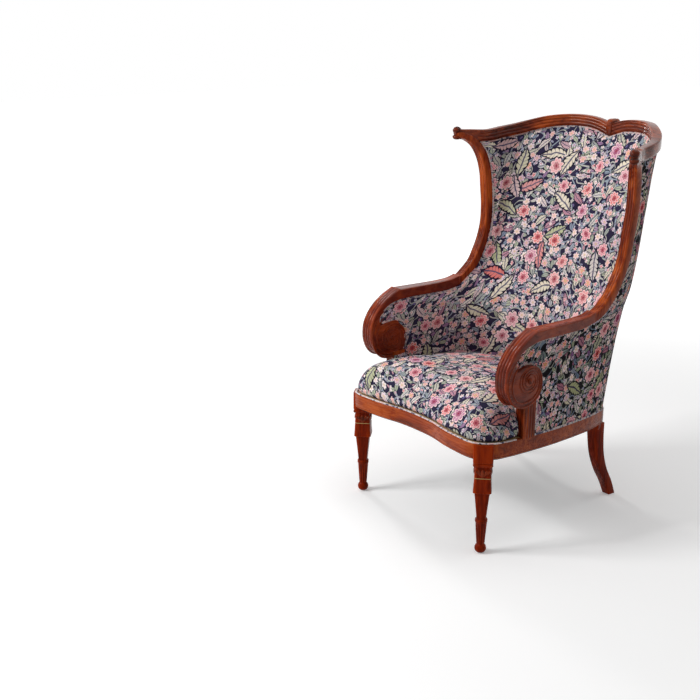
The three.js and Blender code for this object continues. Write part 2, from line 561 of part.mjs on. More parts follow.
function webbingBody() {
  const top = railTop - railHeight - clearance;
  const strips = springPlaces.map((place) => {
    const tall = 2 * railHeight + 2 * seatDepth * railRakeShare;
    const lengthways = box(vec(place * spring.pitchX, 0, railMiddle), [webbing.width, 2 * seatDepth, tall]);
    const crossways = box(vec(0, springRowY(place), railMiddle),
      [2 * seatDepth, webbing.width, tall]);
    return lengthways.add(crossways);
  });
  return seatSheet(webbing.inset, top - webbing.thickness, top).intersect(strips.reduce((all, strip) => all.add(strip)));
}

const triangle = (x, y, toX, toY) => loft([-1, 1].map((side) => [[x, y], [x + toX, y], [x, y + toY]].map(([p, q]) =>
  raked(vec(p, q, 0), railMiddle + side * cornerBlock.height / 2))));

function screwBody(start, heading, grow = 0) {
  const S = screw;
  const profile = [[0, -grow], [S.headRadius + grow, -grow], [S.headRadius + grow, S.headHeight + grow],
    [S.radius + grow, S.headHeight + grow], [S.radius + grow, S.length + grow], [0, S.length + grow]];
  const lathe = new THREE.LatheGeometry(profile.map(([r, h]) => new THREE.Vector2(r, h)), sides.screw);
  lathe.applyQuaternion(new THREE.Quaternion().setFromUnitVectors(vec(0, 1, 0), heading));
  return fromGeometry(lathe.translate(...start.toArray()));
}

function sideStringerBody() {
  const S = stringer;
  const [from, to] = stringerEndShares.map((share) => share * planSteps);
  const middle = padFoot + S.height / 2;
  const points = planRun(from, to, S.inset, middle, cornerPlanShares.length + 1);
  const end = raked(vec(rearLeg.postX + overrun, rearLeg.postY - rearLeg.postSide / 2, 0), middle);
  return sweep(curveThrough([...points, end]), steps.stringer, barShape(S.height, S.thickness, railEdge), upward);
}

function backStringerBody() {
  const middle = railTopAt(rearLeg.postY) + padFoot - railTop + stringer.height / 2;
  return box(vec(0, rearLeg.postY, middle + clearance), [2 * rearLeg.postX, stringer.thickness, stringer.height]);
}

// Assembly

const group = new THREE.Group();

function addMesh(name, solid, material) {
  const { vertProperties, triVerts } = solid.getMesh();
  const geometry = new THREE.BufferGeometry();
  geometry.setAttribute('position', new THREE.BufferAttribute(new Float32Array(vertProperties), 3));
  geometry.setIndex(new THREE.BufferAttribute(new Uint32Array(triVerts), 1));
  geometry.computeVertexNormals();
  const mesh = new THREE.Mesh(geometry, material);
  mesh.name = name;
  group.add(mesh);
}

function addPair(name, solid, material) {
  addMesh(`${name}_right`, solid, material);
  addMesh(`${name}_left`, mirrored(solid), material);
}

const both = (solid) => [solid, mirrored(solid)];
const grown = {
  frontLeg: frontLegBody(clearance), rearLeg: rearLegBody(clearance), arm: armBody(clearance),
  post: postBody(clearance), stile: stileBody(clearance), crest: crestBody(clearance), ear: earBody(clearance),
  knuckle: knuckleBody(clearance), frontRail: frontRailBody(clearance), sideRail: sideRailBody(clearance),
  backRail: backRailBody(clearance),
};

// Tenons: places where the rails' middles meet the legs
const legHalfDiagonal = frontLeg.blockSide / 2 / Math.cos(Math.PI / 4);
const railHalf = railThickness / 2;
const frontTenonX = frontLeg.x - (legHalfDiagonal - Math.abs(seatFront + railHalf - frontLeg.y));
const sideTenonY = frontLeg.y + (legHalfDiagonal - Math.abs(seatHalfWidth - railHalf - frontLeg.x));
const rearFace = { x: rearLeg.x - rearLeg.topSide / 2, y: rearLeg.y - rearLeg.topSide / 2 };
const tenonBody = (x, y, alongX, grow) => {
  const [long, thick] = [2 * (tenon.length + grow), tenon.thickness + 2 * grow];
  return box(raked(vec(x, y, 0), railMiddle), [alongX ? long : thick, alongX ? thick : long, tenon.height + 2 * grow]);
};
const tenons = {
  front: (grow = 0) => tenonBody(frontTenonX, seatFront + railHalf, true, grow),
  side: (grow = 0) => tenonBody(seatHalfWidth - railHalf, sideTenonY, false, grow),
  sideRear: (grow = 0) => tenonBody(rearLeg.x + tenon.outwards, rearFace.y, false, grow),
  back: (grow = 0) => tenonBody(rearFace.x, rearLeg.y + tenon.outwards, true, grow),
};

// Corner blocks with one screw each
const diagonal = Math.cos(Math.PI / 4);
const half = cornerBlock.reach / 2;
const blockFaces = {
  front: { place: raked(vec(cornerBlock.frontX - half, cornerBlock.frontY + half, 0), railMiddle),
    heading: vec(diagonal, -diagonal, 0) },
  rear: { place: raked(vec(cornerBlock.rearX - half, cornerBlock.rearY - half, 0), railMiddle),
    heading: vec(diagonal, diagonal, 0) },
};
const frontScrew = (grow) => screwBody(blockFaces.front.place, blockFaces.front.heading, grow);
const rearScrew = (grow) => screwBody(blockFaces.rear.place, blockFaces.rear.heading, grow);
const frontBlock = triangle(cornerBlock.frontX, cornerBlock.frontY, -cornerBlock.reach, cornerBlock.reach);
const rearBlock = triangle(cornerBlock.rearX, cornerBlock.rearY, -cornerBlock.reach, -cornerBlock.reach);

addPair('front_leg', cut(frontLegBody(), tenons.front(clearance), tenons.side(clearance), frontScrew(clearance)),
  mahogany);
addPair('rear_leg', cut(rearLegBody(), grown.crest, tenons.sideRear(clearance), tenons.back(clearance),
  rearScrew(clearance)), mahogany);
addMesh('front_rail', cut(frontRailBody(), ...both(grown.frontLeg)).add(tenons.front()).add(mirrored(tenons.front())),
  mahogany);
const sideRail = cut(sideRailBody(), grown.frontLeg).trimByPlane([0, -1, 0], clearance - rearFace.y);
addPair('side_rail', sideRail.add(tenons.side()).add(tenons.sideRear()), mahogany);
const backRail = backRailBody().trimByPlane([-1, 0, 0], clearance - rearFace.x)
  .trimByPlane([1, 0, 0], clearance - rearFace.x);
addMesh('back_rail', backRail.add(tenons.back()).add(mirrored(tenons.back())), mahogany);
addPair('front_corner_block', cut(frontBlock, grown.frontLeg, grown.frontRail, grown.sideRail, frontScrew(clearance)),
  beech);
addPair('rear_corner_block', cut(rearBlock, grown.rearLeg, grown.sideRail, grown.backRail, rearScrew(clearance)), beech);
addPair('front_corner_screw', frontScrew(0), steel);
addPair('rear_corner_screw', rearScrew(0), steel);

addPair('arm', cut(armBody(), dowelBody(clearance), stileTenonBody(clearance)), mahogany);
addPair('arm_post', cut(postBody(), grown.arm, grown.sideRail).add(dowelBody()), mahogany);
const stileWood = cut(stileBody().trimByPlane([0, 1, 0], armRear.y + clearance), grown.ear, grown.crest);
addPair('wing_stile', stileWood.add(stileTenonBody()), mahogany);
addPair('crest_rail', cut(crestBody().trimByPlane([1, 0, 0], knuckle.halfWidth + clearance), grown.ear), mahogany);
addMesh('crest_knuckle', knuckleBody(), mahogany);
addPair('ear_scroll', earBody(), mahogany);

addPair('arm_stringer', cut(sideStringerBody(), grown.post, grown.rearLeg), beech);
addMesh('back_stringer', cut(backStringerBody(), ...both(grown.rearLeg)), beech);
addMesh('seat_webbing', webbingBody(), jute);
for (const column of springPlaces) {
  for (const row of springPlaces) {
    const name = `seat_spring_${row + 2}_${column + 2}`;
    addMesh(name, springBody(column * spring.pitchX, springRowY(row)), steel);
  }
}
const hessianSheet = seatSheet(hessian.inset, railTop + clearance, railTop + clearance + hessian.thickness);
addMesh('seat_hessian', cut(hessianSheet, ...both(grown.post), ...both(grown.rearLeg)), jute);
const dustTop = railTop - railHeight - webbing.thickness - 2 * clearance;
addMesh('dust_cover', cut(seatSheet(dustCover.inset, dustTop - dustCover.thickness, dustTop),
  ...both(grown.frontLeg), ...both(grown.rearLeg)), cambric);

const seamSpace = padBody(seamShare - 2 * seamGapShare, seamShare + 2 * seamGapShare, 1, 2 * clearance);
const padSpaces = [backPadBody(clearance), ...both(sidePadBody(clearance)), ...both(seamSpace)];
addMesh('seat_pad', cut(seatPadBody(), ...both(grown.post), ...both(grown.arm), ...padSpaces), print);
const weltLine = bothSides(planRun(0, weltEndShare * planSteps, seat.weltInset,
  railTop + seat.weltRadius + clearance, backIndex - cornerIndex));
addMesh('seat_welt', sweep(curveThrough(weltLine), steps.welt, roundShape(seat.weltRadius, sides.welt),
  upward), print);
addMesh('inside_back_pad', cut(backPadBody(0), ...both(grown.crest), grown.knuckle, ...both(grown.rearLeg)), print);
const showWood = [grown.arm, armBody(clearance / 2), grown.post, dowelBody(clearance), grown.stile, grown.crest,
  grown.ear];
addPair('inside_side_pad', cut(sidePadBody(0), ...showWood, grown.rearLeg), print);
addMesh('outside_back_cover', cut(coverBody(seamGapShare - seamShare, seamShare - seamGapShare, steps.cover),
  ...both(grown.crest), grown.knuckle), print);
addPair('outside_side_cover', cut(coverBody(seamShare + seamGapShare, 1, steps.cover), ...showWood),
  print);

// Stand the chair on the floor with its plan centred
const bounds = new THREE.Box3().setFromObject(group);
const middle = bounds.getCenter(vec(0, 0, 0));
for (const mesh of group.children) mesh.geometry.translate(-middle.x, -middle.y, -bounds.min.z);

export default group;
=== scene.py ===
import bmesh
import bpy
import math
import numpy as np
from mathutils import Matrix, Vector
from mathutils.bvhtree import BVHTree


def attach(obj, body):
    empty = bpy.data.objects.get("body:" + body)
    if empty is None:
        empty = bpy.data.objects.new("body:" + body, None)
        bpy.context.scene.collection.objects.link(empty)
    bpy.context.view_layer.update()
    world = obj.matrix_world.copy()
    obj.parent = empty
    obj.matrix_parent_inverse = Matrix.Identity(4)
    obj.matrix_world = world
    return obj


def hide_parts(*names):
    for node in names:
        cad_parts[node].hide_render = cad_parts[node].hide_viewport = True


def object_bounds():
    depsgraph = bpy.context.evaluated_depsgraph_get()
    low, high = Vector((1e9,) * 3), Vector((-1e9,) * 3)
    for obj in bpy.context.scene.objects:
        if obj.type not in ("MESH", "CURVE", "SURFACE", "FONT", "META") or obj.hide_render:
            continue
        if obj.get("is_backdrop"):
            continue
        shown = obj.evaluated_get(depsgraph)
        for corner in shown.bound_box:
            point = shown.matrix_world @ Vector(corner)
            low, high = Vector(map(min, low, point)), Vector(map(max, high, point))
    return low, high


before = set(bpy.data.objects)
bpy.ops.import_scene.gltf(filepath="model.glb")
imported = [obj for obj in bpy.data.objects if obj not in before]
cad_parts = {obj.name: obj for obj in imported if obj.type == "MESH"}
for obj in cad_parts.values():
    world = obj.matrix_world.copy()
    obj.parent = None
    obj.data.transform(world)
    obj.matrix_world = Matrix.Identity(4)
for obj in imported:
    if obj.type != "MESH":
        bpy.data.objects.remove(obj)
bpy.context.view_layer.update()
print("frame loaded")

# Every place below is in millimetres from the seat's own origin: x to the chair's right, y to the back, z up
shop = {"shiftBack": 74.05, "doubles": 0.00002, "steps": 2}


def spot(x, y, z):
    return Vector((x / 1000, (y - shop["shiftBack"]) / 1000, z / 1000))


# camera at the photograph's viewing angle
camera = {"place": (2.46258, -2.50948, 1.54151), "lookAt": (-0.758971, -0.07405, 0.301402), "lens": 59.14}
bpy.ops.object.camera_add(location=camera["place"])
viewer = bpy.context.object
viewer.rotation_euler = (Vector(camera["lookAt"]) - Vector(camera["place"])).to_track_quat("-Z", "Y").to_euler()
viewer.data.lens = camera["lens"]
bpy.context.scene.camera = viewer


# lines, and the frames that ride along them
def pointOn(points, t):  # centripetal curve through the points
    last = len(points) - 1
    place = last * min(max(t, 0), 1)
    i = min(int(place), last - 1)
    w = place - i
    p1, p2 = points[i], points[i + 1]
    p0 = points[i - 1] if i > 0 else p1 * 2 - p2
    p3 = points[i + 2] if i + 2 <= last else p2 * 2 - p1
    d0, d1, d2 = [max((b - a).length, 1e-9) ** 0.5 for a, b in ((p0, p1), (p1, p2), (p2, p3))]
    m1 = ((p1 - p0) / d0 - (p2 - p0) / (d0 + d1) + (p2 - p1) / d1) * d1
    m2 = ((p2 - p1) / d1 - (p3 - p1) / (d1 + d2) + (p3 - p2) / d2) * d1
    return p1 + m1 * w + (p2 * 3 - p1 * 3 - m1 * 2 - m2) * w ** 2 + (p1 * 2 - p2 * 2 + m1 + m2) * w ** 3


def headingOn(points, t):
    a, b = max(t - 1e-4, 0), min(t + 1e-4, 1)
    return (pointOn(points, b) - pointOn(points, a)).normalized()


def frameOn(points, t, hint):
    centre, along = pointOn(points, t), headingOn(points, t)
    across = (hint - along * hint.dot(along)).normalized()
    return centre, across, along.cross(across)


def lineOf(points, count):
    return [pointOn(points, i / count) for i in range(count + 1)]


def mix(a, b, t):
    return a + (b - a) * t


def ease(t):
    t = min(max(t, 0), 1)
    return t * t * (3 - 2 * t)


# making, copying and finishing a piece
def pickOnly(piece):
    if bpy.context.object and bpy.context.object.mode != "OBJECT":
        bpy.ops.object.mode_set(mode="OBJECT")
    bpy.ops.object.select_all(action="DESELECT")
    piece.select_set(True)
    bpy.context.view_layer.objects.active = piece


def placesOf(piece):  # one row for each vertex
    flat = np.empty(len(piece.data.vertices) * 3)
    piece.data.vertices.foreach_get("co", flat)
    return flat.reshape(-1, 3)


def setPlaces(piece, places):
    piece.data.vertices.foreach_set("co", places.ravel())
    piece.data.update()


def tidyMesh(piece):  # doubles are merged first, then the faces are turned outwards
    pickOnly(piece)
    bpy.ops.object.mode_set(mode="EDIT")
    bpy.ops.mesh.select_all(action="SELECT")
    bpy.ops.mesh.remove_doubles(threshold=shop["doubles"])
    bpy.ops.mesh.normals_make_consistent(inside=False)
    bpy.ops.object.mode_set(mode="OBJECT")


def drawOut(name, rings):  # a first ring is filled, then extruded ring by ring to its given places
    bpy.ops.object.select_all(action="DESELECT")
    bpy.ops.mesh.primitive_circle_add(vertices=len(rings[0]), radius=0.01, fill_type="NGON", enter_editmode=True)
    piece = bpy.context.object
    piece.name = name
    for number, ring in enumerate(rings):
        if number:
            bpy.ops.mesh.extrude_region_move()
        work = bmesh.from_edit_mesh(piece.data)
        if number:  # the fresh ring still lies on the last one, so its places tell which vertex is which
            fresh = {tuple(v.co): v for v in work.verts if v.select}
            order = [fresh[place] for place in last]
        else:
            order = list(work.verts)
        for vert, place in zip(order, ring):
            vert.co = place
        last = [tuple(v.co) for v in order]
        bmesh.update_edit_mesh(piece.data)
    bpy.ops.object.mode_set(mode="OBJECT")
    tidyMesh(piece)
    return piece


def drawLine(points):
    bpy.ops.object.select_all(action="DESELECT")
    bpy.ops.curve.primitive_bezier_curve_add(location=(0, 0, 0))
    line = bpy.context.object
    line.data.splines.clear()
    spline = line.data.splines.new("POLY")
    spline.points.add(len(points) - 1)
    for knot, p in zip(spline.points, points):
        knot.co = (*p, 1)
    return line


def drawCord(name, points, thickness, parts, sizes=None):  # a round cord along a line, made a mesh
    line = drawLine(points)
    line.name = name
    if sizes:
        for knot, size in zip(line.data.splines[0].points, sizes):
            knot.radius = size
    line.data.dimensions = "3D"
    line.data.bevel_depth = thickness / 2
    line.data.bevel_resolution = parts
    line.data.use_fill_caps = True
    pickOnly(line)
    bpy.ops.object.convert(target="MESH")
    piece = bpy.context.object
    tidyMesh(piece)
    return piece


def joined(name, parts):
    pickOnly(parts[0])
    for part in parts:
        part.select_set(True)
    if len(parts) > 1:
        bpy.ops.object.join()
    piece = bpy.context.object
    piece.name = name
    piece.data.name = name
    return piece


def flipped(piece, name):  # the same piece on the chair's other side, with its own mesh
    pickOnly(piece)
    bpy.ops.object.duplicate()
    other = bpy.context.object
    other.name = name
    other.data.name = name
    bpy.ops.object.mode_set(mode="EDIT")
    bpy.ops.mesh.select_all(action="SELECT")
    bpy.ops.transform.mirror(orient_type="GLOBAL", constraint_axis=(True, False, False), center_override=(0, 0, 0))
    bpy.ops.mesh.normals_make_consistent(inside=False)
    bpy.ops.object.mode_set(mode="OBJECT")
    return other


def finishPiece(piece, material, nodes, angle):  # no angle: smooth all over
    pickOnly(piece)
    bpy.ops.object.transform_apply(location=True, rotation=True, scale=True)
    if angle is None:
        bpy.ops.object.shade_smooth()
    else:
        bpy.ops.object.shade_smooth_by_angle(angle=math.radians(angle))
    piece.data.materials.clear()
    piece.data.materials.append(material)
    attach(piece, "root")
    if nodes:
        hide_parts(*nodes)
    return piece


def bothSidesOf(piece, material, nodes, angle):  # the right piece and its mirror, named and finished
    other = flipped(piece, piece.name.replace("_right", "_left"))
    finishPiece(piece, material, nodes, angle)
    finishPiece(other, material, [n.replace("_right", "_left") for n in nodes], angle)
    return piece, other


def layUv(piece, places):  # one place in metres for each vertex
    layer = piece.data.uv_layers.get("cloth") or piece.data.uv_layers.new(name="cloth")
    corner = np.empty(len(piece.data.loops), dtype=np.int32)
    piece.data.loops.foreach_get("vertex_index", corner)
    layer.data.foreach_set("uv", places[corner].astype(np.float32).ravel())


# the seat's plan, from the front centre round to the back centre, as shares of its half width and depth
plan = {
    "halfWidth": 317, "front": -352, "depth": 642, "railTop": 341, "railHeight": 44, "railMiddle": 13,
    "rake": 0.065, "legY": -310,
    "shape": [(0, 0.042), (0.23, 0.036), (0.438, 0.014), (0.64, 0.002), (0.795, 0), (0.871, 0.011),
              (0.931, 0.04), (0.981, 0.084), (0.994, 0.14), (0.984, 0.274), (0.946, 0.484), (0.909, 0.604),
              (0.852, 0.762), (0.795, 0.86), (0.729, 0.938), (0.65, 0.944), (0.347, 0.983), (0, 1)],
    "corner": 6, "rear": 14, "back": 17,
}


def onSeat(x, y):
    return Vector((x * plan["halfWidth"], plan["front"] + y * plan["depth"], 0))


def dropAt(y):
    return plan["rake"] * (y - plan["legY"])


planLine = [onSeat(*p) for p in plan["shape"]]
planLine = [Vector((-planLine[1].x, planLine[1].y, 0))] + planLine + [Vector((-planLine[-2].x, planLine[-2].y, 0))]


def planAt(index, inset, z):  # index counts the plan's points from the front centre; below zero is the left side
    side = -1 if index < 0 else 1
    t = (abs(index) + 1) / (plan["back"] + 2)
    p, along = pointOn(planLine, t), headingOn(planLine, t)
    x, y = p.x - along.y * inset, p.y + along.x * inset
    return Vector((side * x, y, z - dropAt(y)))


def planOutward(index):
    t = (abs(index) + 1) / (plan["back"] + 2)
    along = headingOn(planLine, t)
    return Vector((along.y * (-1 if index < 0 else 1), -along.x, 0)).normalized()


def metres(p):
    return spot(p.x, p.y, p.z)


# seat rails, with a small bead along the lower edge; out and up from the rail's middle
rail = {
    "section": [(-13, -22), (10.6, -22), (12, -21.6), (13, -20.4), (13.1, -19), (12.5, -17.8), (11.9, -17.4),
                (11.9, -16.6), (12.7, -16), (13, -15), (13.1, -4), (13.1, 6), (13, 19.4), (12.4, 21), (11, 22),
                (-13, 22)],
    "frontSteps": 44, "sideSteps": 36, "backSteps": 20,
}


def makeRail(name, start, end, steps):
    rings = []
    middle = plan["railTop"] - plan["railHeight"] / 2
    for i in range(steps * shop["steps"] + 1):
        index = mix(start, end, i / (steps * shop["steps"]))
        centre, outward = planAt(index, plan["railMiddle"], middle), planOutward(index)
        rings.append([metres(centre + outward * o + Vector((0, 0, u))) for o, u in rail["section"]])
    return drawOut(name, rings)


frontRail = makeRail("front_rail_veneered", -plan["corner"], plan["corner"], rail["frontSteps"])
sideRail = makeRail("side_rail_veneered_right", plan["corner"], plan["rear"], rail["sideSteps"])
backRail = makeRail("back_rail_smooth", plan["rear"], plan["back"], rail["backSteps"])
backHalf = flipped(backRail, "back_rail_other")
backRail = joined("back_rail_smooth", [backRail, backHalf])
print("rails made")

# front legs, set corner on: height, half size, squareness, reed depth
frontLeg = {
    "x": 278, "y": -310, "reeds": 12, "around": 48, "cornerCut": 0.94,
    "turned": [(0, 8, 0, 0), (1.6, 11.6, 0, 0), (4.6, 14.6, 0, 0), (8.6, 16.6, 0, 0), (13.5, 17.3, 0, 0),
               (18.4, 16.6, 0, 0), (22.4, 14.6, 0, 0), (25.4, 12.6, 0, 0), (27, 11.4, 0, 0), (28.2, 11.2, 0, 0),
               (29.4, 11.8, 0, 0.4), (31, 12.4, 0, 2), (50, 13.6, 0, 2.2), (75, 15.4, 0, 2.2), (91, 16.6, 0, 2),
               (92.6, 16.8, 0, 0.5), (94, 16.4, 0, 0), (95, 17, 0, 0), (96.4, 18, 0, 0), (98.6, 18.2, 0, 0),
               (99.4, 17.4, 0, 0), (100.2, 17.4, 0, 0), (101, 18.2, 0, 0), (104.4, 18.2, 0, 0),
               (106, 17.2, 0.1, 0), (107.4, 14.8, 0.5, 0), (109, 13.9, 1, 0), (130, 15.7, 1, 0),
               (160, 18.7, 1, 0), (184, 21.2, 1, 0), (190, 21.9, 1, 0), (191.2, 22.4, 1, 0),
               (192.2, 24.6, 1, 0), (194, 26.8, 1, 0), (200, 26.6, 1, 0), (214, 25.4, 1, 0), (232, 24.8, 1, 0),
               (236.2, 24.6, 1, 0), (236.8, 23.4, 1, 0), (240, 23.4, 1, 0), (240.6, 24.4, 1, 0),
               (242, 24.6, 1, 0), (248, 24, 1, 0), (260, 23.6, 1, 0), (267, 22.8, 1, 0), (270, 22.2, 1, 0),
               (273, 24.6, 1, 0), (277, 27.6, 1, 0), (281, 28.6, 1, 0), (284, 27, 1, 0), (285.4, 26.8, 1, 0),
               (287, 28.8, 1, 0), (300, 29, 1, 0), (338.6, 29, 1, 0)],
    "line": [(237.2, 23.5), (237.7, 24.1), (239.1, 24.1), (239.6, 23.5)],  # the pale inlay: height, half size
    "drop": {"out": 33.4, "height": 279, "size": (5.4, 5.4, 5.2)},
    "bud": {"out": 25.2, "height": 279, "size": (3, 6.5, 4)},
    "fanOut": 23.8,  # a fan of petals on each face: sideways, height, lean, size
    "fan": [(0, 254, 0, (3.8, 6.2, 12)), (-8.6, 255, 0.42, (3.2, 4.2, 10.4)), (8.6, 255, -0.42, (3.2, 4.2, 10.4)),
            (-15.6, 257, 0.8, (2.6, 3, 8)), (15.6, 257, -0.8, (2.6, 3, 8))],
}


def legRing(x, y, z, size, square, reed):
    ring, count = [], frontLeg["around"]
    for i in range(count):
        angle = i / count * 2 * math.pi
        toFace = abs(angle % (math.pi / 2) - math.pi / 4)
        flat = min(1 / math.cos(toFace), frontLeg["cornerCut"] / math.cos(math.pi / 4))
        valley = reed * (1 - abs(math.sin(i / count * frontLeg["reeds"] * math.pi)))
        radius = size * mix(1, flat, square) - valley
        py = y + radius * math.sin(angle)
        drop = dropAt(py) if z > 330 else 0
        ring.append(spot(x + radius * math.cos(angle), py, z - drop))
    return ring


def carvedBump(place, size, turn=0, lean=0):  # a small carved bump, flattened against its face
    bpy.ops.mesh.primitive_uv_sphere_add(segments=16, ring_count=8, radius=0.001, location=(0, 0, 0))
    bump = bpy.context.object
    bpy.ops.object.mode_set(mode="EDIT")
    bpy.ops.mesh.select_all(action="SELECT")
    bpy.ops.transform.resize(value=size)
    bpy.ops.transform.rotate(value=-lean, orient_axis="X", center_override=(0, 0, 0))
    bpy.ops.transform.rotate(value=-turn, orient_axis="Z", center_override=(0, 0, 0))
    bpy.ops.transform.translate(value=place)
    bpy.ops.object.mode_set(mode="OBJECT")
    return bump


leg = drawOut("front_leg_turned_right", [legRing(frontLeg["x"], frontLeg["y"], *row) for row in frontLeg["turned"]])
carving = []
for quarter in range(4):
    turn = math.pi / 4 + quarter * math.pi / 2
    outward = Vector((math.cos(turn), math.sin(turn), 0))
    corner = Vector((math.cos(turn + math.pi / 4), math.sin(turn + math.pi / 4), 0))
    base = Vector((frontLeg["x"], frontLeg["y"], 0))
    side = Vector((-outward.y, outward.x, 0))
    for way, bump, angle in ((corner, frontLeg["drop"], 0), (outward, frontLeg["bud"], turn)):
        place = base + way * bump["out"] + Vector((0, 0, bump["height"]))
        carving.append(carvedBump(metres(place), bump["size"], angle))
    for shift, height, lean, size in frontLeg["fan"]:
        place = base + outward * frontLeg["fanOut"] + side * shift + Vector((0, 0, height))
        carving.append(carvedBump(metres(place), size, turn, lean))
legCarving = joined("front_leg_carving_right", carving)
legLine = drawOut("front_leg_line_right", [legRing(frontLeg["x"], frontLeg["y"], *row, 1, 0)
                                           for row in frontLeg["line"]])
print("front legs made")

# rear legs: a sabre leg under a corner block that follows the plan
rearLeg = {
    "x": 222.0, "y": 229.0, "top": 40, "foot": 30, "footY": 313.0, "blockBottom": 256, "flare": 14,
    "sweep": [(0, 1), (0.19, 0.75), (0.42, 0.37), (0.66, 0.12), (0.87, 0.03), (1, 0)], "edge": 3.4, "steps": 12,
    "slack": 0.6, "follows": (13.24, 15.02), "chamfer": 3, "overlap": 6,
    "blockRise": [(-12, 0.86), (-5, 0.95), (0, 0.99), (2, 1)],
}


def softSquare(x, y, z, side, edge):
    h, ring = side / 2, []
    for quarter, (cx, cy) in enumerate(((1, 1), (-1, 1), (-1, -1), (1, -1))):
        for k in range(4):
            angle = (quarter + k / 3) * math.pi / 2
            ring.append(spot(x + cx * (h - edge) + edge * math.cos(angle),
                             y + cy * (h - edge) + edge * math.sin(angle), z))
    return ring


def makeRearLeg():
    sweepLine = [Vector((0, back, rise)) for rise, back in rearLeg["sweep"]]
    rings, high = [], rearLeg["blockBottom"] - rearLeg["flare"]
    for i in range(rearLeg["steps"] * shop["steps"] + 1):
        p = pointOn(sweepLine, i / (rearLeg["steps"] * shop["steps"]))
        side = mix(rearLeg["foot"], rearLeg["top"], p.z) - rearLeg["slack"]
        y = mix(rearLeg["y"], rearLeg["footY"], p.y)
        rings.append(softSquare(rearLeg["x"], y, high * p.z, side, rearLeg["edge"]))
    rings.append(softSquare(rearLeg["x"], rearLeg["y"], rearLeg["blockBottom"] + rearLeg["overlap"],
                            rearLeg["top"] - rearLeg["slack"], rearLeg["edge"]))
    sabre = drawOut("rear_leg_sabre", rings)
    h, c = rearLeg["top"] / 2, rearLeg["chamfer"]
    left, front = rearLeg["x"] - h, rearLeg["y"] - h
    outer = [planAt(mix(*rearLeg["follows"], k / 12), rearLeg["slack"], 0) for k in range(13)]
    inner = [Vector((left, outer[-1].y - c, 0)), Vector((left, front + c, 0)),
             Vector((left + c, front, 0)), Vector((outer[0].x - c, front, 0))]
    blockTop = plan["railTop"] - dropAt(rearLeg["y"] + h) - 0.3
    levels = [(rearLeg["blockBottom"] + rise, size) for rise, size in rearLeg["blockRise"]] + [(blockTop, 1)]
    middle = Vector((rearLeg["x"], rearLeg["y"], 0))
    rings = [[spot(*(middle + (Vector((p.x, p.y, 0)) - middle) * size).xy, z) for p in outer + inner]
             for z, size in levels]
    block = drawOut("rear_leg_block", rings)
    return joined("rear_leg_sabre_right", [sabre, block])


rearSabre = makeRearLeg()
print("rear legs made")

# arms: the side outline is stacked across the arm, with reeds round the front of the scroll
arm = {
    "height": 634, "thickness": 31, "halfSpan": 303, "rearHalfWidth": 17, "halfWidth": 24,
    "scrollY": -193.0, "scrollZ": 502.0,
    "radius": 75.008, "stepBack": 31, "stepRise": 3, "endRise": 11.5, "bendRun": 32, "bendRise": 3.5, "midRun": 81,
    "outer": [(-0.227, 1.68), (-0.76, 1.227), (-1.067, 0.733), (-1.147, 0.28), (-1.08, -0.213),
              (-0.787, -0.613), (-0.387, -0.84), (0.04, -0.88), (0.44, -0.747), (0.667, -0.453),
              (0.773, -0.027), (0.667, 0.347), (0.4, 0.613), (0, 0.68), (-0.36, 0.613)],
    "inner": [(-0.627, 0.547), (-0.667, 0.8), (-0.573, 1.04), (-0.28, 1.32), (0.387, 1.533)],
    "reeds": 4, "reedDepth": 3.4, "reedsOver": 0.92, "reedsFade": (5, 0.58, 0.08),
    "groove": 1.8, "grooveAt": 0.66, "grooveWidth": 0.07, "edge": 4.2, "edgeFrom": 0.86,
    "outlineSteps": 64, "acrossSteps": 44,
}

stile = {
    "width": 32, "depth": 28, "footShare": 0.059, "rise": 481, "reach": 226, "earHalfSpan": 368,
    "line": [(-0.17, 0.323, 0.006), (-0.154, 0.442, 0.021), (-0.123, 0.553, 0.052), (-0.138, 0.717, 0.12),
             (-0.123, 0.827, 0.202), (-0.108, 0.912, 0.286), (-0.092, 0.973, 0.387), (-0.046, 0.996, 0.507),
             (0.062, 1, 0.627), (0.138, 0.987, 0.746), (0.277, 0.934, 0.857), (0.523, 0.823, 0.944),
             (1, 0.637, 1)],
    "steps": 40,
}
stileLine = [Vector((mix(arm["halfSpan"], stile["earHalfSpan"], x), y * stile["reach"],
                     arm["height"] + z * stile["rise"])) for x, y, z in stile["line"]]
armRear = pointOn(stileLine, stile["footShare"])
inwards, upwards = Vector((-1, 0, 0)), Vector((0, 0, 1))


def armShare(y):
    return max(0, y - arm["scrollY"]) / (armRear.y - arm["scrollY"])


def armCentre(y):
    return mix(arm["halfSpan"], armRear.x, armShare(y))


def armHalf(y):
    return mix(arm["halfWidth"], arm["rearHalfWidth"], armShare(y))


def scrollSpot(y, z):
    return Vector((0, arm["scrollY"] + y * arm["radius"], arm["scrollZ"] + z * arm["radius"]))


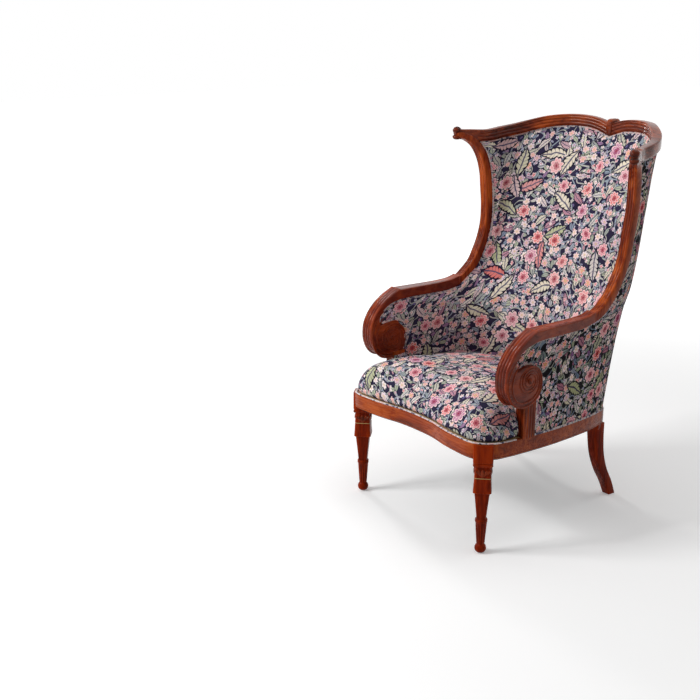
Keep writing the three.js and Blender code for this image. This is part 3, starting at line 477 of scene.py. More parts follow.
def armOutline():  # the side outline's places, and how much of the reeds each one carries
    top, under = arm["height"] + arm["thickness"] / 2, arm["height"] - arm["thickness"] / 2
    stepY = arm["scrollY"] + arm["stepBack"]
    outer = lineOf([Vector((0, stepY, top + arm["stepRise"]))] + [scrollSpot(*p) for p in arm["outer"]],
                   arm["outlineSteps"])
    start, last, over = arm["reedsFade"]
    reeded = [ease((i - 1) / start) * (1 - ease((i / arm["outlineSteps"] - last) / over)) for i in range(len(outer))]
    inner = lineOf([scrollSpot(*p) for p in arm["inner"]] + [Vector((0, armRear.y - arm["midRun"], under))], 16)
    rear = armRear.y
    upper = lineOf([Vector((0, rear, top + arm["endRise"])),
                    Vector((0, rear - arm["bendRun"], top + arm["bendRise"])),
                    Vector((0, rear - arm["midRun"], top)),
                    Vector((0, stepY + 40, top)), Vector((0, stepY + 2, top))], 20)
    lower = lineOf([inner[-1], Vector((0, rear - arm["bendRun"], under + arm["bendRise"])),
                    Vector((0, rear, under + arm["endRise"]))], 8)[1:]
    places = upper + outer + inner + lower
    grooved = [1] * len(upper) + [0] * (len(outer) + len(inner) + len(lower))
    weights = [0] * len(upper) + reeded + [0] * (len(inner) + len(lower))
    return places, weights, grooved


def makeArm():
    places, weights, grooved = armOutline()
    count = len(places)
    normals = []
    for i in range(count):
        along = (places[(i + 1) % count] - places[i - 1]).normalized()
        normals.append(Vector((0, along.z, -along.y)))
    steps, flat, over, rings = arm["acrossSteps"], arm["edgeFrom"], arm["reedsOver"], []
    middle = [mix(-flat, flat, i / steps) for i in range(steps + 1)]
    for across in [-1, -0.985, -0.95, -0.9] + middle + [0.9, 0.95, 0.985, 1]:
        edge = max(0, (abs(across) - flat) / 0.14)
        inset = arm["edge"] * (1 - math.sqrt(max(0, 1 - edge ** 2)))
        valley = 0
        if abs(across) < over:
            valley = arm["reedDepth"] * (1 - abs(math.sin((across / over + 1) / 2 * arm["reeds"] * math.pi)))
        line = arm["groove"] * max(0, 1 - abs(abs(across) - arm["grooveAt"]) / arm["grooveWidth"])
        rings.append([spot(armCentre(p.y) + across * armHalf(p.y), *(p + n * -(inset + valley * w + line * g))[1:])
                      for p, n, w, g in zip(places, normals, weights, grooved)])
    return drawOut("arm_reeded_right", rings)


armPiece = makeArm()

# the volute's carved sides: spiral ridges that wind in to a button
volute = {
    "turns": [(-70, 1.34), (-45, 1.24), (0, 1.07), (45, 0.95), (90, 0.8), (135, 0.76), (180, 0.69), (225, 0.66),
              (270, 0.6), (315, 0.575), (360, 0.55), (450, 0.47), (540, 0.415), (630, 0.35), (720, 0.29),
              (810, 0.235), (900, 0.19)],
    "second": [(-62, 1.1), (-45, 1.0), (0, 0.87), (45, 0.78), (90, 0.66), (135, 0.62), (180, 0.56),
               (225, 0.535), (270, 0.49), (360, 0.42), (450, 0.35), (540, 0.3), (630, 0.24), (720, 0.2)],
    "centre": (0.03, -0.1), "eye": {1: (0.12, 0.1), -1: (0.02, -0.08)},  # outer side, inner side
    "thickness": 8.8, "secondShare": 0.72, "sink": 2.9, "button": (3.6, 10, 10), "steps": 90,
}


def makeVolute(side):
    parts, steps, start, eye = [], volute["steps"], volute["centre"], volute["eye"][side]
    for table, share in ((volute["turns"], 1), (volute["second"], volute["secondShare"])):
        points, thickness = [], volute["thickness"] * share
        line = [Vector((a, r, 0)) for a, r in table]
        for i in range(steps + 1):
            p = pointOn(line, i / steps)
            angle, drift = math.radians(180 + p.x), ease(i / 70)
            y = arm["scrollY"] + (mix(start[0], eye[0], drift) + p.y * math.cos(angle)) * arm["radius"]
            z = arm["scrollZ"] + (mix(start[1], eye[1], drift) + p.y * math.sin(angle)) * arm["radius"]
            x = armCentre(y) + side * (armHalf(y) - thickness / 2 + volute["sink"])
            points.append(spot(x, y, z))
        sizes = [mix(0.35, 1, ease(i / 10)) * mix(1, 0.55, i / steps) for i in range(steps + 1)]
        parts.append(drawCord("volute_ridge", points, thickness / 1000, 2, sizes))
    y = arm["scrollY"] + eye[0] * arm["radius"]
    z = arm["scrollZ"] + eye[1] * arm["radius"]
    parts.append(carvedBump(spot(armCentre(y) + side * armHalf(y), y, z), volute["button"]))
    return parts


voluteCarving = joined("volute_carving_right", makeVolute(1) + makeVolute(-1))
print("arms made")

# the post under each scroll, reeded on its outer face and front
post = {
    "inner": 274.5, "outer": 313, "front": -190, "back": -141, "foot": 330, "top": 449,
    "reeds": 4, "reedDepth": 1.5, "corner": 3.4, "clothLow": 12, "clothHigh": 13, "clothUv": 3.1,
    "clothFlat": (0.06, 0.11), "pipingEnds": 22, "pipingPlaces": (1.6, 4.6),
}


def makePost():
    wide, deep = post["outer"] - post["inner"], post["back"] - post["front"]
    cx, cy, shape = (post["outer"] + post["inner"]) / 2, (post["front"] + post["back"]) / 2, []
    c = post["corner"]
    for sx, sy, start in ((1, 1, 0), (-1, 1, 90), (-1, -1, 180), (1, -1, 270)):
        for k in range(4):
            angle = math.radians(start + k * 30)
            shape.append((sx * (wide / 2 - c) + c * math.cos(angle), sy * (deep / 2 - c) + c * math.sin(angle)))
        if (sx, sy) == (-1, -1):
            run = wide / 2 - c
            for x in [mix(-run, run, k / 24) for k in range(1, 24)]:
                shape.append((x, -deep / 2 + post["reedDepth"] * (1 - abs(math.sin((x / run + 1) * 1.5 * math.pi)))))
    run = deep / 2 - c
    for y in [mix(-run, run, k / 32) for k in range(1, 32)]:
        valley = 1 - abs(math.sin((y / run + 1) * post["reeds"] / 2 * math.pi))
        shape.append((wide / 2 - post["reedDepth"] * valley, y))
    levels = [post["foot"], post["foot"] + 40, post["foot"] + 80, post["top"]]
    return drawOut("arm_post_reeded_right", [[spot(cx + x, cy + y, z) for x, y in shape] for z in levels])


postPiece = makePost()


def makePostCloth():  # the cloth on the post's inner face, between the seat and the scroll
    x, low, high = post["inner"] - 0.4, post["foot"] + post["clothLow"], post["top"] - post["clothHigh"]
    front, back = post["front"] + 1.5, post["back"] + 6
    outline = [(front, low), (back, low), (back, high + 4), (post["front"] + 24, high), (front, high)]
    piece = drawOut("post_cloth_right", [[spot(x - d, mix(y, post["front"] + 25, d / 40), z) for y, z in outline]
                                         for d in (0, 1.4, 1.8)])
    layUv(piece, np.array([(v.co.y + post["clothUv"], v.co.z) for v in piece.data.vertices]))
    return piece


postCloth = makePostCloth()

# wing stiles and crest: reeded bars along their lines; across and out from the line
bar = {"stileReeds": 3, "crestReeds": 3, "reedDepth": 2.3, "corner": 5, "narrow": 0.74, "narrowFrom": 0.8,
       "smoothFrom": 0.8, "smoothOver": 0.09}


# a bar's section, counter-clockwise, with reeds on the face towards the sitter
def reededSection(width, depth, corner, reeds, reedDepth):
    w, d, shape = width / 2, depth / 2, []
    for cx, cy, start in ((-1, -1, 180), (1, -1, 270)):
        for k in range(5):
            angle = math.radians(start + k * 22.5)
            shape.append((cx * (w - corner) + corner * math.cos(angle), cy * (d - corner) + corner * math.sin(angle)))
    shape += [(w, d - 2.4), (w - 0.7, d - 0.9), (w - 2, d - 0.2)]
    inner = w - 3
    for k in range(reeds * 6 + 1):
        shape.append((mix(inner, -inner, k / (reeds * 6)), d - reedDepth * (1 - abs(math.sin(k / 6 * math.pi)))))
    return shape + [(-w + 2, d - 0.2), (-w + 0.7, d - 0.9), (-w, d - 2.4)]


def narrowing(t):
    return mix(1, bar["narrow"], ease((t - bar["narrowFrom"]) / (1 - bar["narrowFrom"])))


def makeBar(name, line, hint, sectionWith, start, steps, growth, carved):
    rings = []
    for i in range(steps + 1):
        t = mix(start, 1, i / steps)
        centre, across, out = frameOn(line, t, hint)
        g, section = growth(t), sectionWith(carved(t) * bar["reedDepth"])
        rings.append([metres(centre + across * (a * g) + out * (o * g)) for a, o in section])
    return drawOut(name, rings)


def smoothEnd(t):
    return 1 - ease((t - bar["smoothFrom"]) / bar["smoothOver"])


def stileSection(depth):
    return reededSection(stile["width"], stile["depth"], bar["corner"], bar["stileReeds"], depth)


def stileGrowth(t):  # slimmer where it leaves the arm and where it ends
    return mix(0.86, 1, ease(t / 0.05)) * narrowing(t)


def stileCarved(t):
    return ease((t - 0.1) / 0.06) * (1 - ease((t - 0.9) / 0.08))


stilePiece = makeBar("wing_stile_reeded_right", stileLine, inwards, stileSection, 0, stile["steps"] * shop["steps"],
                     stileGrowth, stileCarved)

crest = {
    "height": 36, "depth": 29, "low": 1108, "swell": 50, "earY": 143.962, "back": 475.962,
    "start": 0.012, "steps": 40,
    "line": [(0, 1, 0.52), (0.152, 0.991, 0.88), (0.304, 0.964, 1), (0.467, 0.909, 0.96), (0.594, 0.803, 0.82),
             (0.71, 0.684, 0.54), (0.779, 0.569, 0.32), (0.826, 0.431, 0.16), (0.861, 0.25, 0),
             (0.94, 0.114, 0.06), (1, 0, 0.14)],
}
crestLine = [Vector((x * stile["earHalfSpan"], mix(crest["earY"], crest["back"], y),
                     crest["low"] + z * crest["swell"])) for x, y, z in crest["line"]]


def crestSection(depth):
    return reededSection(crest["height"], crest["depth"], bar["corner"], bar["crestReeds"], depth)


crestPiece = makeBar("crest_rail_reeded_right", crestLine, upwards, crestSection, crest["start"],
                     crest["steps"] * shop["steps"], narrowing, smoothEnd)

# the clasp where the two crest rails meet: depth along, size
knuckle = {"halfWidth": 15, "height": 56, "setBack": 4, "lift": 9,
           "shape": [(-22, 0.62), (-21, 0.7), (-18.5, 0.86), (-15, 0.96), (-9, 1), (0, 1), (9, 1), (16, 0.98),
                     (19.6, 0.9), (21.4, 0.78), (22, 0.66)]}


def makeKnuckle():
    centre, rings = crestLine[0], []
    for along, size in knuckle["shape"]:
        ring = []
        for k in range(40):
            angle = k / 40 * 2 * math.pi
            c, s = math.cos(angle), math.sin(angle)
            x = math.copysign(abs(c) ** 0.5, c) * knuckle["halfWidth"] * size
            z = math.copysign(abs(s) ** 0.62, s) * knuckle["height"] / 2 * size
            if abs(along) < 20:
                flute = 1.4 * (1 - abs(math.sin(x / knuckle["halfWidth"] * 1.5 * math.pi)))
                z -= math.copysign(flute, z) if abs(x) < 12 else 0
            ring.append(metres(Vector((x, centre.y + knuckle["setBack"] + along, centre.z + knuckle["lift"] + z))))
        rings.append(ring)
    return drawOut("crest_knuckle_fluted", rings)


knucklePiece = makeKnuckle()

# the turned knob on each wing's front corner: height above its middle, radius
ear = {"x": 368, "y": 143.962, "z": 1115, "around": 40,
       "profile": [(-21, 3), (-20.8, 7), (-19.6, 10), (-17.8, 12.4), (-14.6, 14), (-11, 14.5), (-8.6, 13.6),
                   (-7, 11.8), (-6, 10.6), (-4.6, 10), (-3, 10.4), (-2.2, 11.4), (-1.2, 11.8), (-0.2, 11.4),
                   (0.8, 11.2), (2.4, 12.4), (5, 13.9), (8.4, 14.5), (11.6, 14.3), (14.8, 12.8), (17.4, 10.2),
                   (19.4, 7), (20.6, 3.6), (21, 1.6)]}
turns = [k / ear["around"] * 2 * math.pi for k in range(ear["around"])]
earPiece = drawOut("ear_knob_turned_right", [
    [spot(ear["x"] + r * math.cos(turn), ear["y"] + r * math.sin(turn), ear["z"] + up) for turn in turns]
    for up, r in ear["profile"]])
print("stiles and crest made")


# upholstery: skins between the seat frame and the show-wood, as the workshop would stretch them
wall = {
    "armInset": 6, "armDepth": 9, "stileTuck": 8, "stileSink": 6, "crestTuck": 7, "inFace": 4, "outFace": 8,
    "foot": 4, "padFoot": 343.1, "coverFoot": 341.3,
    "insideBase": [(0, 0.805), (0.19, 0.802), (0.363, 0.787), (0.505, 0.759), (0.625, 0.717), (0.7, 0.66),
                   (0.757, 0.595), (0.795, 0.525), (0.826, 0.447), (0.852, 0.369), (0.868, 0.291)],
    "centre": [(0, 0), (0.03, 0.1), (0.1, 0.22), (0.22, 0.38), (0.42, 0.58), (0.68, 0.79), (1, 1)],
    "hook": [(0.44, -0.96), (0.28, -0.093), (-0.293, 0.507), (-0.867, 0.853), (-0.52, 1.267), (0.04, 1.54),
             (1.773, 1.57), (3.373, 1.6)],
    "stilePlaces": [0.25, 0.417, 0.583, 0.708, 0.833, 0.917], "insideFade": (3, 2, 1.4), "outsideFade": (5, 5, 1.4),
    "columns": 80, "rows": 76, "outerColumns": 70, "outerRows": 66,
    "thickness": 0.008, "clothThickness": 0.0016, "clothFlat": (1.5, 0.86), "lean": 1.05,
    "pressure": 2.2, "frames": 12, "cap": 0.006, "stiffness": 15,
}


def crestEdge(out):
    line = []
    for i in range(len(crestLine)):
        centre, across, outward = frameOn(crestLine, i / (len(crestLine) - 1), upwards)
        line.append(centre + outward * out - Vector((0, 0, crest["height"] / 2 - wall["crestTuck"])))
    return line


def reachLine(first, last, x, across):
    line = [first]
    for y, z in wall["hook"]:
        p = scrollSpot(y, z)
        line.append(Vector((armCentre(p.y) + (x - arm["halfSpan"]) * armHalf(p.y) / arm["halfWidth"], p.y, p.z)))
    for t in wall["stilePlaces"]:
        centre, side, outward = frameOn(stileLine, t, inwards)
        line.append(centre + side * across - outward * wall["stileSink"])
    return line + [last]


# a skin's places: rows from the seat frame to the crest, columns from one front edge to the other
def skinGrid(base, top, centre, reach, fade, halves, rows):
    def away(line, v):
        return pointOn(line, v) - (line[0] + (line[-1] - line[0]) * v)

    foot = [pointOn(base, j / halves) for j in range(halves + 1)]
    head = [pointOn(top, j / halves) for j in range(halves + 1)]
    grid = np.zeros((rows + 1, 2 * halves + 1, 3))
    for i in range(rows + 1):
        v = i / rows
        back, front = away(centre, v), away(reach, v)
        for j in range(halves + 1):
            u = j / halves
            forward = Vector([front[axis] * u ** power for axis, power in enumerate(fade)])
            p = foot[j] + (head[j] - foot[j]) * v + back * (1 - u) + forward
            grid[i, halves + j] = metres(p)
            grid[i, halves - j] = metres(Vector((-p.x, p.y, p.z)))
    return grid


insideBase = [onSeat(*p) + Vector((0, 0, wall["padFoot"] - dropAt(onSeat(*p).y))) for p in wall["insideBase"]]
insideTop = crestEdge(wall["inFace"])
insideCentre = [Vector((0, mix(insideBase[0].y, insideTop[0].y, y), mix(insideBase[0].z, insideTop[0].z, z)))
                for y, z in wall["centre"]]
insideReach = reachLine(insideBase[-1], insideTop[-1],
                        arm["halfSpan"] - arm["halfWidth"] + wall["armInset"], wall["stileTuck"])
insideGrid = skinGrid(insideBase, insideTop, insideCentre, insideReach, wall["insideFade"],
                      wall["columns"], wall["rows"])

outsideBase = [planAt(mix(plan["back"], plan["rear"], i / 5) if i < 5 else mix(plan["rear"], 9, i / 5 - 1),
                      wall["foot"], wall["coverFoot"]) for i in range(11)]
outsideTop = crestEdge(-wall["outFace"])
outsideReach = reachLine(outsideBase[-1], outsideTop[-1],
                         arm["halfSpan"] + arm["halfWidth"] - wall["armInset"] - wall["armDepth"], -wall["stileTuck"])
outsideGrid = skinGrid(outsideBase, outsideTop, [outsideBase[0], outsideTop[0]], outsideReach, wall["outsideFade"],
                       wall["outerColumns"], wall["outerRows"])


def gridUv(grid):  # metres along each row in plan, and up the wall
    flat = np.diff(grid[:, :, :2], axis=1)
    run = np.cumsum(np.hypot(flat[..., 0], flat[..., 1]), axis=1)
    run = np.concatenate([np.zeros((grid.shape[0], 1)), run], axis=1)
    run -= run[:, grid.shape[1] // 2][:, None]
    return np.stack([run, grid[..., 2] * wall["lean"]], axis=-1).reshape(-1, 2)


def makeSkin(name, grid):  # a plane cut into the grid's rows and columns, then set to its places
    rows, columns = grid.shape[0] - 1, grid.shape[1] - 1
    bpy.ops.object.select_all(action="DESELECT")
    bpy.ops.mesh.primitive_grid_add(x_subdivisions=columns, y_subdivisions=rows, size=1)
    piece = bpy.context.object
    piece.name = piece.data.name = name
    start = placesOf(piece)
    i = np.rint((start[:, 1] + 0.5) * rows).astype(int)
    j = np.rint((start[:, 0] + 0.5) * columns).astype(int)
    setPlaces(piece, grid[i, j])
    return piece, i, j


def blowUp(piece, pinned, settings):  # a short cloth simulation; each point moves at most the cap
    rest = placesOf(piece)
    group = piece.vertex_groups.new(name="held")
    group.add([int(k) for k in np.nonzero(pinned)[0]], 1, "REPLACE")
    pickOnly(piece)
    bpy.ops.object.modifier_add(type="CLOTH")
    cloth = piece.modifiers[-1]
    cloth.settings.vertex_group_mass = "held"
    cloth.settings.effector_weights.gravity = 0
    cloth.settings.use_pressure = True
    cloth.settings.uniform_pressure_force = settings["pressure"]
    cloth.settings.quality = 4
    cloth.settings.mass = 0.3
    cloth.settings.tension_stiffness = cloth.settings.compression_stiffness = settings["stiffness"]
    cloth.collision_settings.use_collision = False
    cloth.point_cache.frame_start, cloth.point_cache.frame_end = 1, settings["frames"]
    for step in range(1, settings["frames"] + 1):
        bpy.context.scene.frame_set(step)
    move = placesOf(piece.evaluated_get(bpy.context.evaluated_depsgraph_get())) - rest
    length = np.linalg.norm(move, axis=1)
    move *= (np.minimum(length, settings["cap"]) / np.maximum(length, 1e-9))[:, None]
    most = round(float(length.max()) * 1000, 1)
    print("cloth", piece.name, "moved up to", most, "mm, kept to", settings["cap"] * 1000)
    piece.modifiers.remove(cloth)
    piece.vertex_groups.remove(group)
    bpy.context.scene.frame_set(1)
    return rest, move


def applyOn(piece, kind, **values):
    pickOnly(piece)
    bpy.ops.object.modifier_add(type=kind)
    modifier = piece.modifiers[-1]
    for key, value in values.items():
        setattr(modifier, key, value)
    bpy.ops.object.modifier_apply(modifier=modifier.name)


inside, rowOf, columnOf = makeSkin("inside_padding_tight", insideGrid)
layUv(inside, gridUv(insideGrid)[rowOf * insideGrid.shape[1] + columnOf])
edge = (rowOf < 2) | (rowOf > wall["rows"] - 3) | (columnOf < 3) | (columnOf > 2 * wall["columns"] - 3)
rest, move = blowUp(inside, edge, wall)
setPlaces(inside, rest + move)
applyOn(inside, "SOLIDIFY", thickness=wall["thickness"], offset=-1)
applyOn(inside, "SUBSURF", levels=1, render_levels=1)
print("inside padding made")

outside, rowOf, columnOf = makeSkin("outside_cover_sheet", outsideGrid)
layUv(outside, gridUv(outsideGrid)[rowOf * outsideGrid.shape[1] + columnOf])
pickOnly(outside)
bpy.ops.object.mode_set(mode="EDIT")
bpy.ops.mesh.select_all(action="SELECT")
bpy.ops.mesh.flip_normals()  # this skin faces away from the sitter
bpy.ops.object.mode_set(mode="OBJECT")
applyOn(outside, "SOLIDIFY", thickness=wall["clothThickness"], offset=-1)

# the seat pad: swollen from the workshop's own shape
seat = {
    "voxel": 0.0062, "smoothing": 8, "pressure": 4, "frames": 16, "cap": 0.007, "stiffness": 12,
    # metres; it can't swell at its foot, nor beside the walls
    "foot": 0.012, "rise": 0.03, "sideFrom": 0.2, "frontTo": -0.3, "backFrom": 0.02,
    "uvMiddle": 0.26, "uvTop": 0.44, "uvShare": 0.85, "cordSize": 3.5, "cordInset": (2.2, 5.5), "cordLift": 1.9,
    "cordEnd": 8.58, "cordSteps": 160,
}


def copyOfNodes(name, nodes):
    bpy.ops.object.select_all(action="DESELECT")
    copies = []
    for node in nodes:
        source = bpy.data.objects[node]
        copy = source.copy()
        copy.data = source.data.copy()
        copy.parent = None
        copy.matrix_world = source.matrix_world
        bpy.context.collection.objects.link(copy)
        copies.append(copy)
    piece = joined(name, copies)
    for key in list(piece.keys()):
        del piece[key]
    pickOnly(piece)
    bpy.ops.object.transform_apply(location=True, rotation=True, scale=True)
    tidyMesh(piece)
    return piece


seatPiece = copyOfNodes("seat_pad_sprung", ["seat_pad"])
voxel = seat["voxel"] * 1
applyOn(seatPiece, "REMESH", mode="VOXEL", voxel_size=voxel, use_smooth_shade=True)
applyOn(seatPiece, "SMOOTH", factor=0.5, iterations=seat["smoothing"])
here = placesOf(seatPiece)
back = here[:, 1] * 1000 + shop["shiftBack"]
above = here[:, 2] - (plan["railTop"] - plan["rake"] * (back - plan["legY"])) / 1000
rest, move = blowUp(seatPiece, above < seat["foot"], seat)
share = np.clip((above - seat["foot"]) / seat["rise"], 0, 1)[:, None]
beside = (np.abs(rest[:, 0]) > seat["sideFrom"]) & (rest[:, 1] > seat["frontTo"])
beside |= rest[:, 1] > seat["backFrom"]
move[beside, :2] = 0  # no swelling into the sides and back
setPlaces(seatPiece, rest + move * share)
applyOn(seatPiece, "SMOOTH", factor=0.5, iterations=3)
here = placesOf(seatPiece)
front = (plan["front"] - shop["shiftBack"]) / 1000
away = here[:, :2] - np.array([0, front + seat["uvMiddle"]])
away /= np.maximum(np.linalg.norm(away, axis=1), 1e-6)[:, None]
fall = np.maximum(0, seat["uvTop"] - here[:, 2] - plan["rake"] * (here[:, 1] - front))[:, None]
layUv(seatPiece, here[:, :2] + away * fall * seat["uvShare"])
print("seat pad made", len(seatPiece.data.polygons), "faces")

# piping and gimp: double cords of the cloth where it meets the wood
piping = {
    "size": 3.4, "gimpSize": 2.6, "apart": 3.0, "stack": [(1.4, 1.7), (1.6, 5.0)], "clear": 1.2,
    "side": (9.3, 15.2, 70), "rear": 30,  # along the plan: from, to, steps
    "deepest": 0.07, "step": 0.0006, "even": 0.003,  # metres: how an edge cord looks for its way out of the wood
    "trimSteps": 220, "trimOffsets": (2.2, 5.2), "trimProud": 0.9, "lookFrom": {"inside": 120, "outside": 480},
    "sideHigh": 0.985, "topEnds": (0.03, 0.97), "proud": {"inside": 1.3, "outside": 1.2, "crest": 1.4, "back": 1.3},
}


def doubleCord(name, lines, size):
    return joined(name, [drawCord(name + "_cord", points, size / 1000, 3) for points in lines])


def shapeOf(piece):
    return BVHTree.FromPolygons([v.co for v in piece.data.vertices], [list(f.vertices) for f in piece.data.polygons])


woodShapes = [shapeOf(piece) for piece in (armPiece, stilePiece, postPiece, crestPiece, knucklePiece)]


def standsClear(place):  # how far a place lies outside the wood; the left half is read on the right
    place, least = Vector((abs(place[0]), place[1], place[2])), 1.0
    for shape in woodShapes:
        near, normal, _, apart = shape.find_nearest(place)
        least = min(least, apart if (place - near).dot(normal) > 0 else -apart)
    return least


def edgeRuns(lines):  # for each line of a skin, how far in from its end it comes out of the wood
    runs = []
    for run, line in lines:
        d = 0.0
        while d < piping["deepest"]:
            if standsClear([np.interp(d, run, line[:, k]) for k in range(3)]) >= piping["clear"] / 1000:
                break
            d += piping["step"]
        runs.append(d)
    wide = np.pad(runs, 1, mode="edge")
    highest = np.array([wide[i:i + 3].max() for i in range(len(runs))])
    wide = np.pad(highest, 2, mode="edge")
    even = np.array([wide[i:i + 5].mean() for i in range(len(runs))])
    return np.where(np.abs(even - highest) < piping["even"], even, highest)


def withRun(line):
    return np.concatenate([[0], np.cumsum(np.linalg.norm(np.diff(line, axis=0), axis=1))]), line


def edgeCords(name, lines, ups, proud, size):  # two cords along the skin's edge, just clear of the wood
    lines = [withRun(line) for line in lines]
    starts, cords = edgeRuns(lines), []
    for extra in (0, piping["apart"] / 1000):
        points = []
        for (run, line), start, up in zip(lines, starts, ups):
            place = np.array([np.interp(start + extra, run, line[:, k]) for k in range(3)])
            k = min(max(int(np.searchsorted(run, start + extra)), 1), len(run) - 1)
            normal = np.cross(up[k], line[k] - line[k - 1])
            normal *= proud / max(np.linalg.norm(normal), 1e-9) / 1000
            points.append(Vector(place + normal))
        cords.append(points)
    return doubleCord(name, cords, size)


# rows of a skin above the arm, from its right-hand front edge inwards, and the way up at each point
def skinSide(grid):
    rows = grid.shape[0] - 1
    chosen = [i for i in range(int(piping["sideHigh"] * rows) + 1) if grid[i][-1][2] > arm["height"] / 1000]
    return [grid[i][::-1] for i in chosen], [(grid[min(i + 1, rows)] - grid[max(i - 1, 0)])[::-1] for i in chosen]


def skinTop(grid):  # columns of a skin from the crest downwards
    columns = grid.shape[1] - 1
    low, high = piping["topEnds"]
    chosen = list(range(int(low * columns), int(high * columns) + 1))
    return ([grid[::-1, j] for j in chosen],
            [(grid[:, min(j + 1, columns)] - grid[:, max(j - 1, 0)])[::-1] for j in chosen])


end, steps = seat["cordEnd"], seat["cordSteps"]
seatCords = doubleCord("seat_piping", [
    [metres(planAt(mix(-end, end, i / steps), inset, plan["railTop"] + seat["cordLift"])) for i in range(steps + 1)]
    for inset in seat["cordInset"]], seat["cordSize"])


# two cords on a skin along the arm's lower outline, found by looking across at the skin from start
def armTrim(name, skin, start, way, path):
    shape, cords = shapeOf(skin), []
    line = lineOf(path, piping["trimSteps"])
    for offset in piping["trimOffsets"]:
        points = []
        for i, p in enumerate(line):
            along = (line[min(i + 1, len(line) - 1)] - line[max(i - 1, 0)]).normalized()
            hit = shape.ray_cast(spot(start, p.y + along.z * offset, p.z - along.y * offset), Vector((way, 0, 0)))[0]
            if hit is not None:
                points.append(hit - Vector((way * piping["trimProud"] / 1000, 0, 0)))
        cords.append(points)
    return doubleCord(name, cords, piping["gimpSize"])


under, rear = arm["height"] - arm["thickness"] / 2, armRear.y
scrollPath = [scrollSpot(*p) for p in arm["outer"][9:] + arm["inner"]]
armPath = [Vector((0, rear - arm["midRun"], under)), Vector((0, rear - arm["bendRun"], under + arm["bendRise"])),
           Vector((0, rear - 4, under + arm["endRise"] - 1))]
postPath = [Vector((0, post["back"], z)) for z in (post["foot"] + 17, post["foot"] + 60, post["foot"] + 104)]
trims = [
    armTrim("inside_trim_right", inside, piping["lookFrom"]["inside"], 1, scrollPath + armPath),
    armTrim("outside_trim_right", outside, piping["lookFrom"]["outside"], -1, postPath + scrollPath + armPath),
    edgeCords("inside_gimp_right", *skinSide(insideGrid), piping["proud"]["inside"], piping["gimpSize"]),
    edgeCords("outside_gimp_right", *skinSide(outsideGrid), -piping["proud"]["outside"], piping["gimpSize"]),
]
start, end, steps = piping["side"]
trims.append(doubleCord("side_piping_right", [
    [metres(planAt(mix(start, end, i / steps), inset, plan["railTop"] + lift)) for i in range(steps + 1)]
    for inset, lift in piping["stack"]], piping["size"]))
low, high = post["foot"] + post["pipingEnds"], post["top"] - post["pipingEnds"]
trims.append(doubleCord("post_piping_right", [
    [spot(post["inner"] + x, post["front"] - 0.6, mix(low, high, i / 30)) for i in range(31)]
    for x in post["pipingPlaces"]], piping["gimpSize"]))
crestGimp = edgeCords("crest_gimp", *skinTop(insideGrid), -piping["proud"]["crest"], piping["gimpSize"])
backGimp = edgeCords("back_gimp", *skinTop(outsideGrid), piping["proud"]["back"], piping["gimpSize"])
steps = piping["rear"]
rearRun = [mix(end, plan["back"], i / steps) for i in range(steps + 1)]
rearRun += [-mix(plan["back"], end, i / steps) for i in range(1, steps + 1)]
backPiping = doubleCord("back_piping", [
    [metres(planAt(index, inset, plan["railTop"] + lift)) for index in rearRun] for inset, lift in piping["stack"]],
    piping["size"])

# dust cover under the seat: a thin black cloth
dust = {"inset": 5, "thickness": 0.0012, "low": 294.1, "sag": 4, "rows": 30, "columns": 40, "flat": (0.64, 0.64)}


def dustPlaces():
    outline = [planAt(plan["back"] * k / 120, dust["inset"], 0) for k in range(121)]
    xs, ys = np.array([p.x for p in outline]), np.array([p.y for p in outline])
    widest, rows, columns = int(np.argmax(xs)), dust["rows"], dust["columns"]
    places = np.zeros((rows + 1, columns + 1, 3))
    for j in range(columns + 1):
        x = math.sin(mix(-1, 1, j / columns) * math.pi / 2) * (xs[widest] - 0.6)
        front = np.interp(abs(x), xs[:widest + 1], ys[:widest + 1])
        rear = np.interp(abs(x), xs[widest:][::-1], ys[widest:][::-1])
        for i in range(rows + 1):
            y = mix(front, rear, i / rows)
            sag = dust["sag"] * (1 - (x / xs[widest]) ** 2) * math.sin(math.pi * i / rows)
            places[i, j] = spot(x, y, dust["low"] - dropAt(y) - sag)
    return places


dustGrid = dustPlaces()
dustPiece, rowOf, columnOf = makeSkin("dust_cover_sheet", dustGrid)
layUv(dustPiece, dustGrid[..., :2].reshape(-1, 2)[rowOf * dustGrid.shape[1] + columnOf])
applyOn(dustPiece, "SOLIDIFY", thickness=dust["thickness"], offset=0)
tidyMesh(dustPiece)


# materials: node helpers, then the shared effects, then one recipe for each finish
def tint(*seen):  # a colour as it is seen, from 0 to 255
    shares = [c / 255 for c in seen]
    return tuple(c / 12.92 if c < 0.04045 else ((c + 0.055) / 1.055) ** 2.4 for c in shares) + (1,)


def newTree(name, ins, outs):
    group = bpy.data.node_groups.new(name, "ShaderNodeTree")
    for label, kind, value in ins:
        socket = group.interface.new_socket(name=label, in_out="INPUT", socket_type="NodeSocket" + kind)
        if value is not None:
            socket.default_value = value
    for label, kind in outs:
        group.interface.new_socket(name=label, in_out="OUTPUT", socket_type="NodeSocket" + kind)
    return group, group.nodes.new("NodeGroupInput"), group.nodes.new("NodeGroupOutput")


# a node with its settings; feeds maps a socket to a value or another socket
def put(tree, kind, feeds=None, **values):
    node = tree.nodes.new("ShaderNode" + kind)
    for key, value in values.items():
        setattr(node, key, value)
    for key, value in (feeds or {}).items():
        if isinstance(value, bpy.types.NodeSocket):
            tree.links.new(value, node.inputs[key])
        else:
            node.inputs[key].default_value = value
    return node


def calc(tree, operation, *feeds, clamp=False):
    return put(tree, "Math", dict(enumerate(feeds)), operation=operation, use_clamp=clamp).outputs[0]


def noiseOf(tree, place, scale, detail, **more):
    return put(tree, "TexNoise", {"Vector": place, "Scale": scale, "Detail": detail, **more})


def plus(tree, a, b, clamp=False):
    return calc(tree, "ADD", a, b, clamp=clamp)


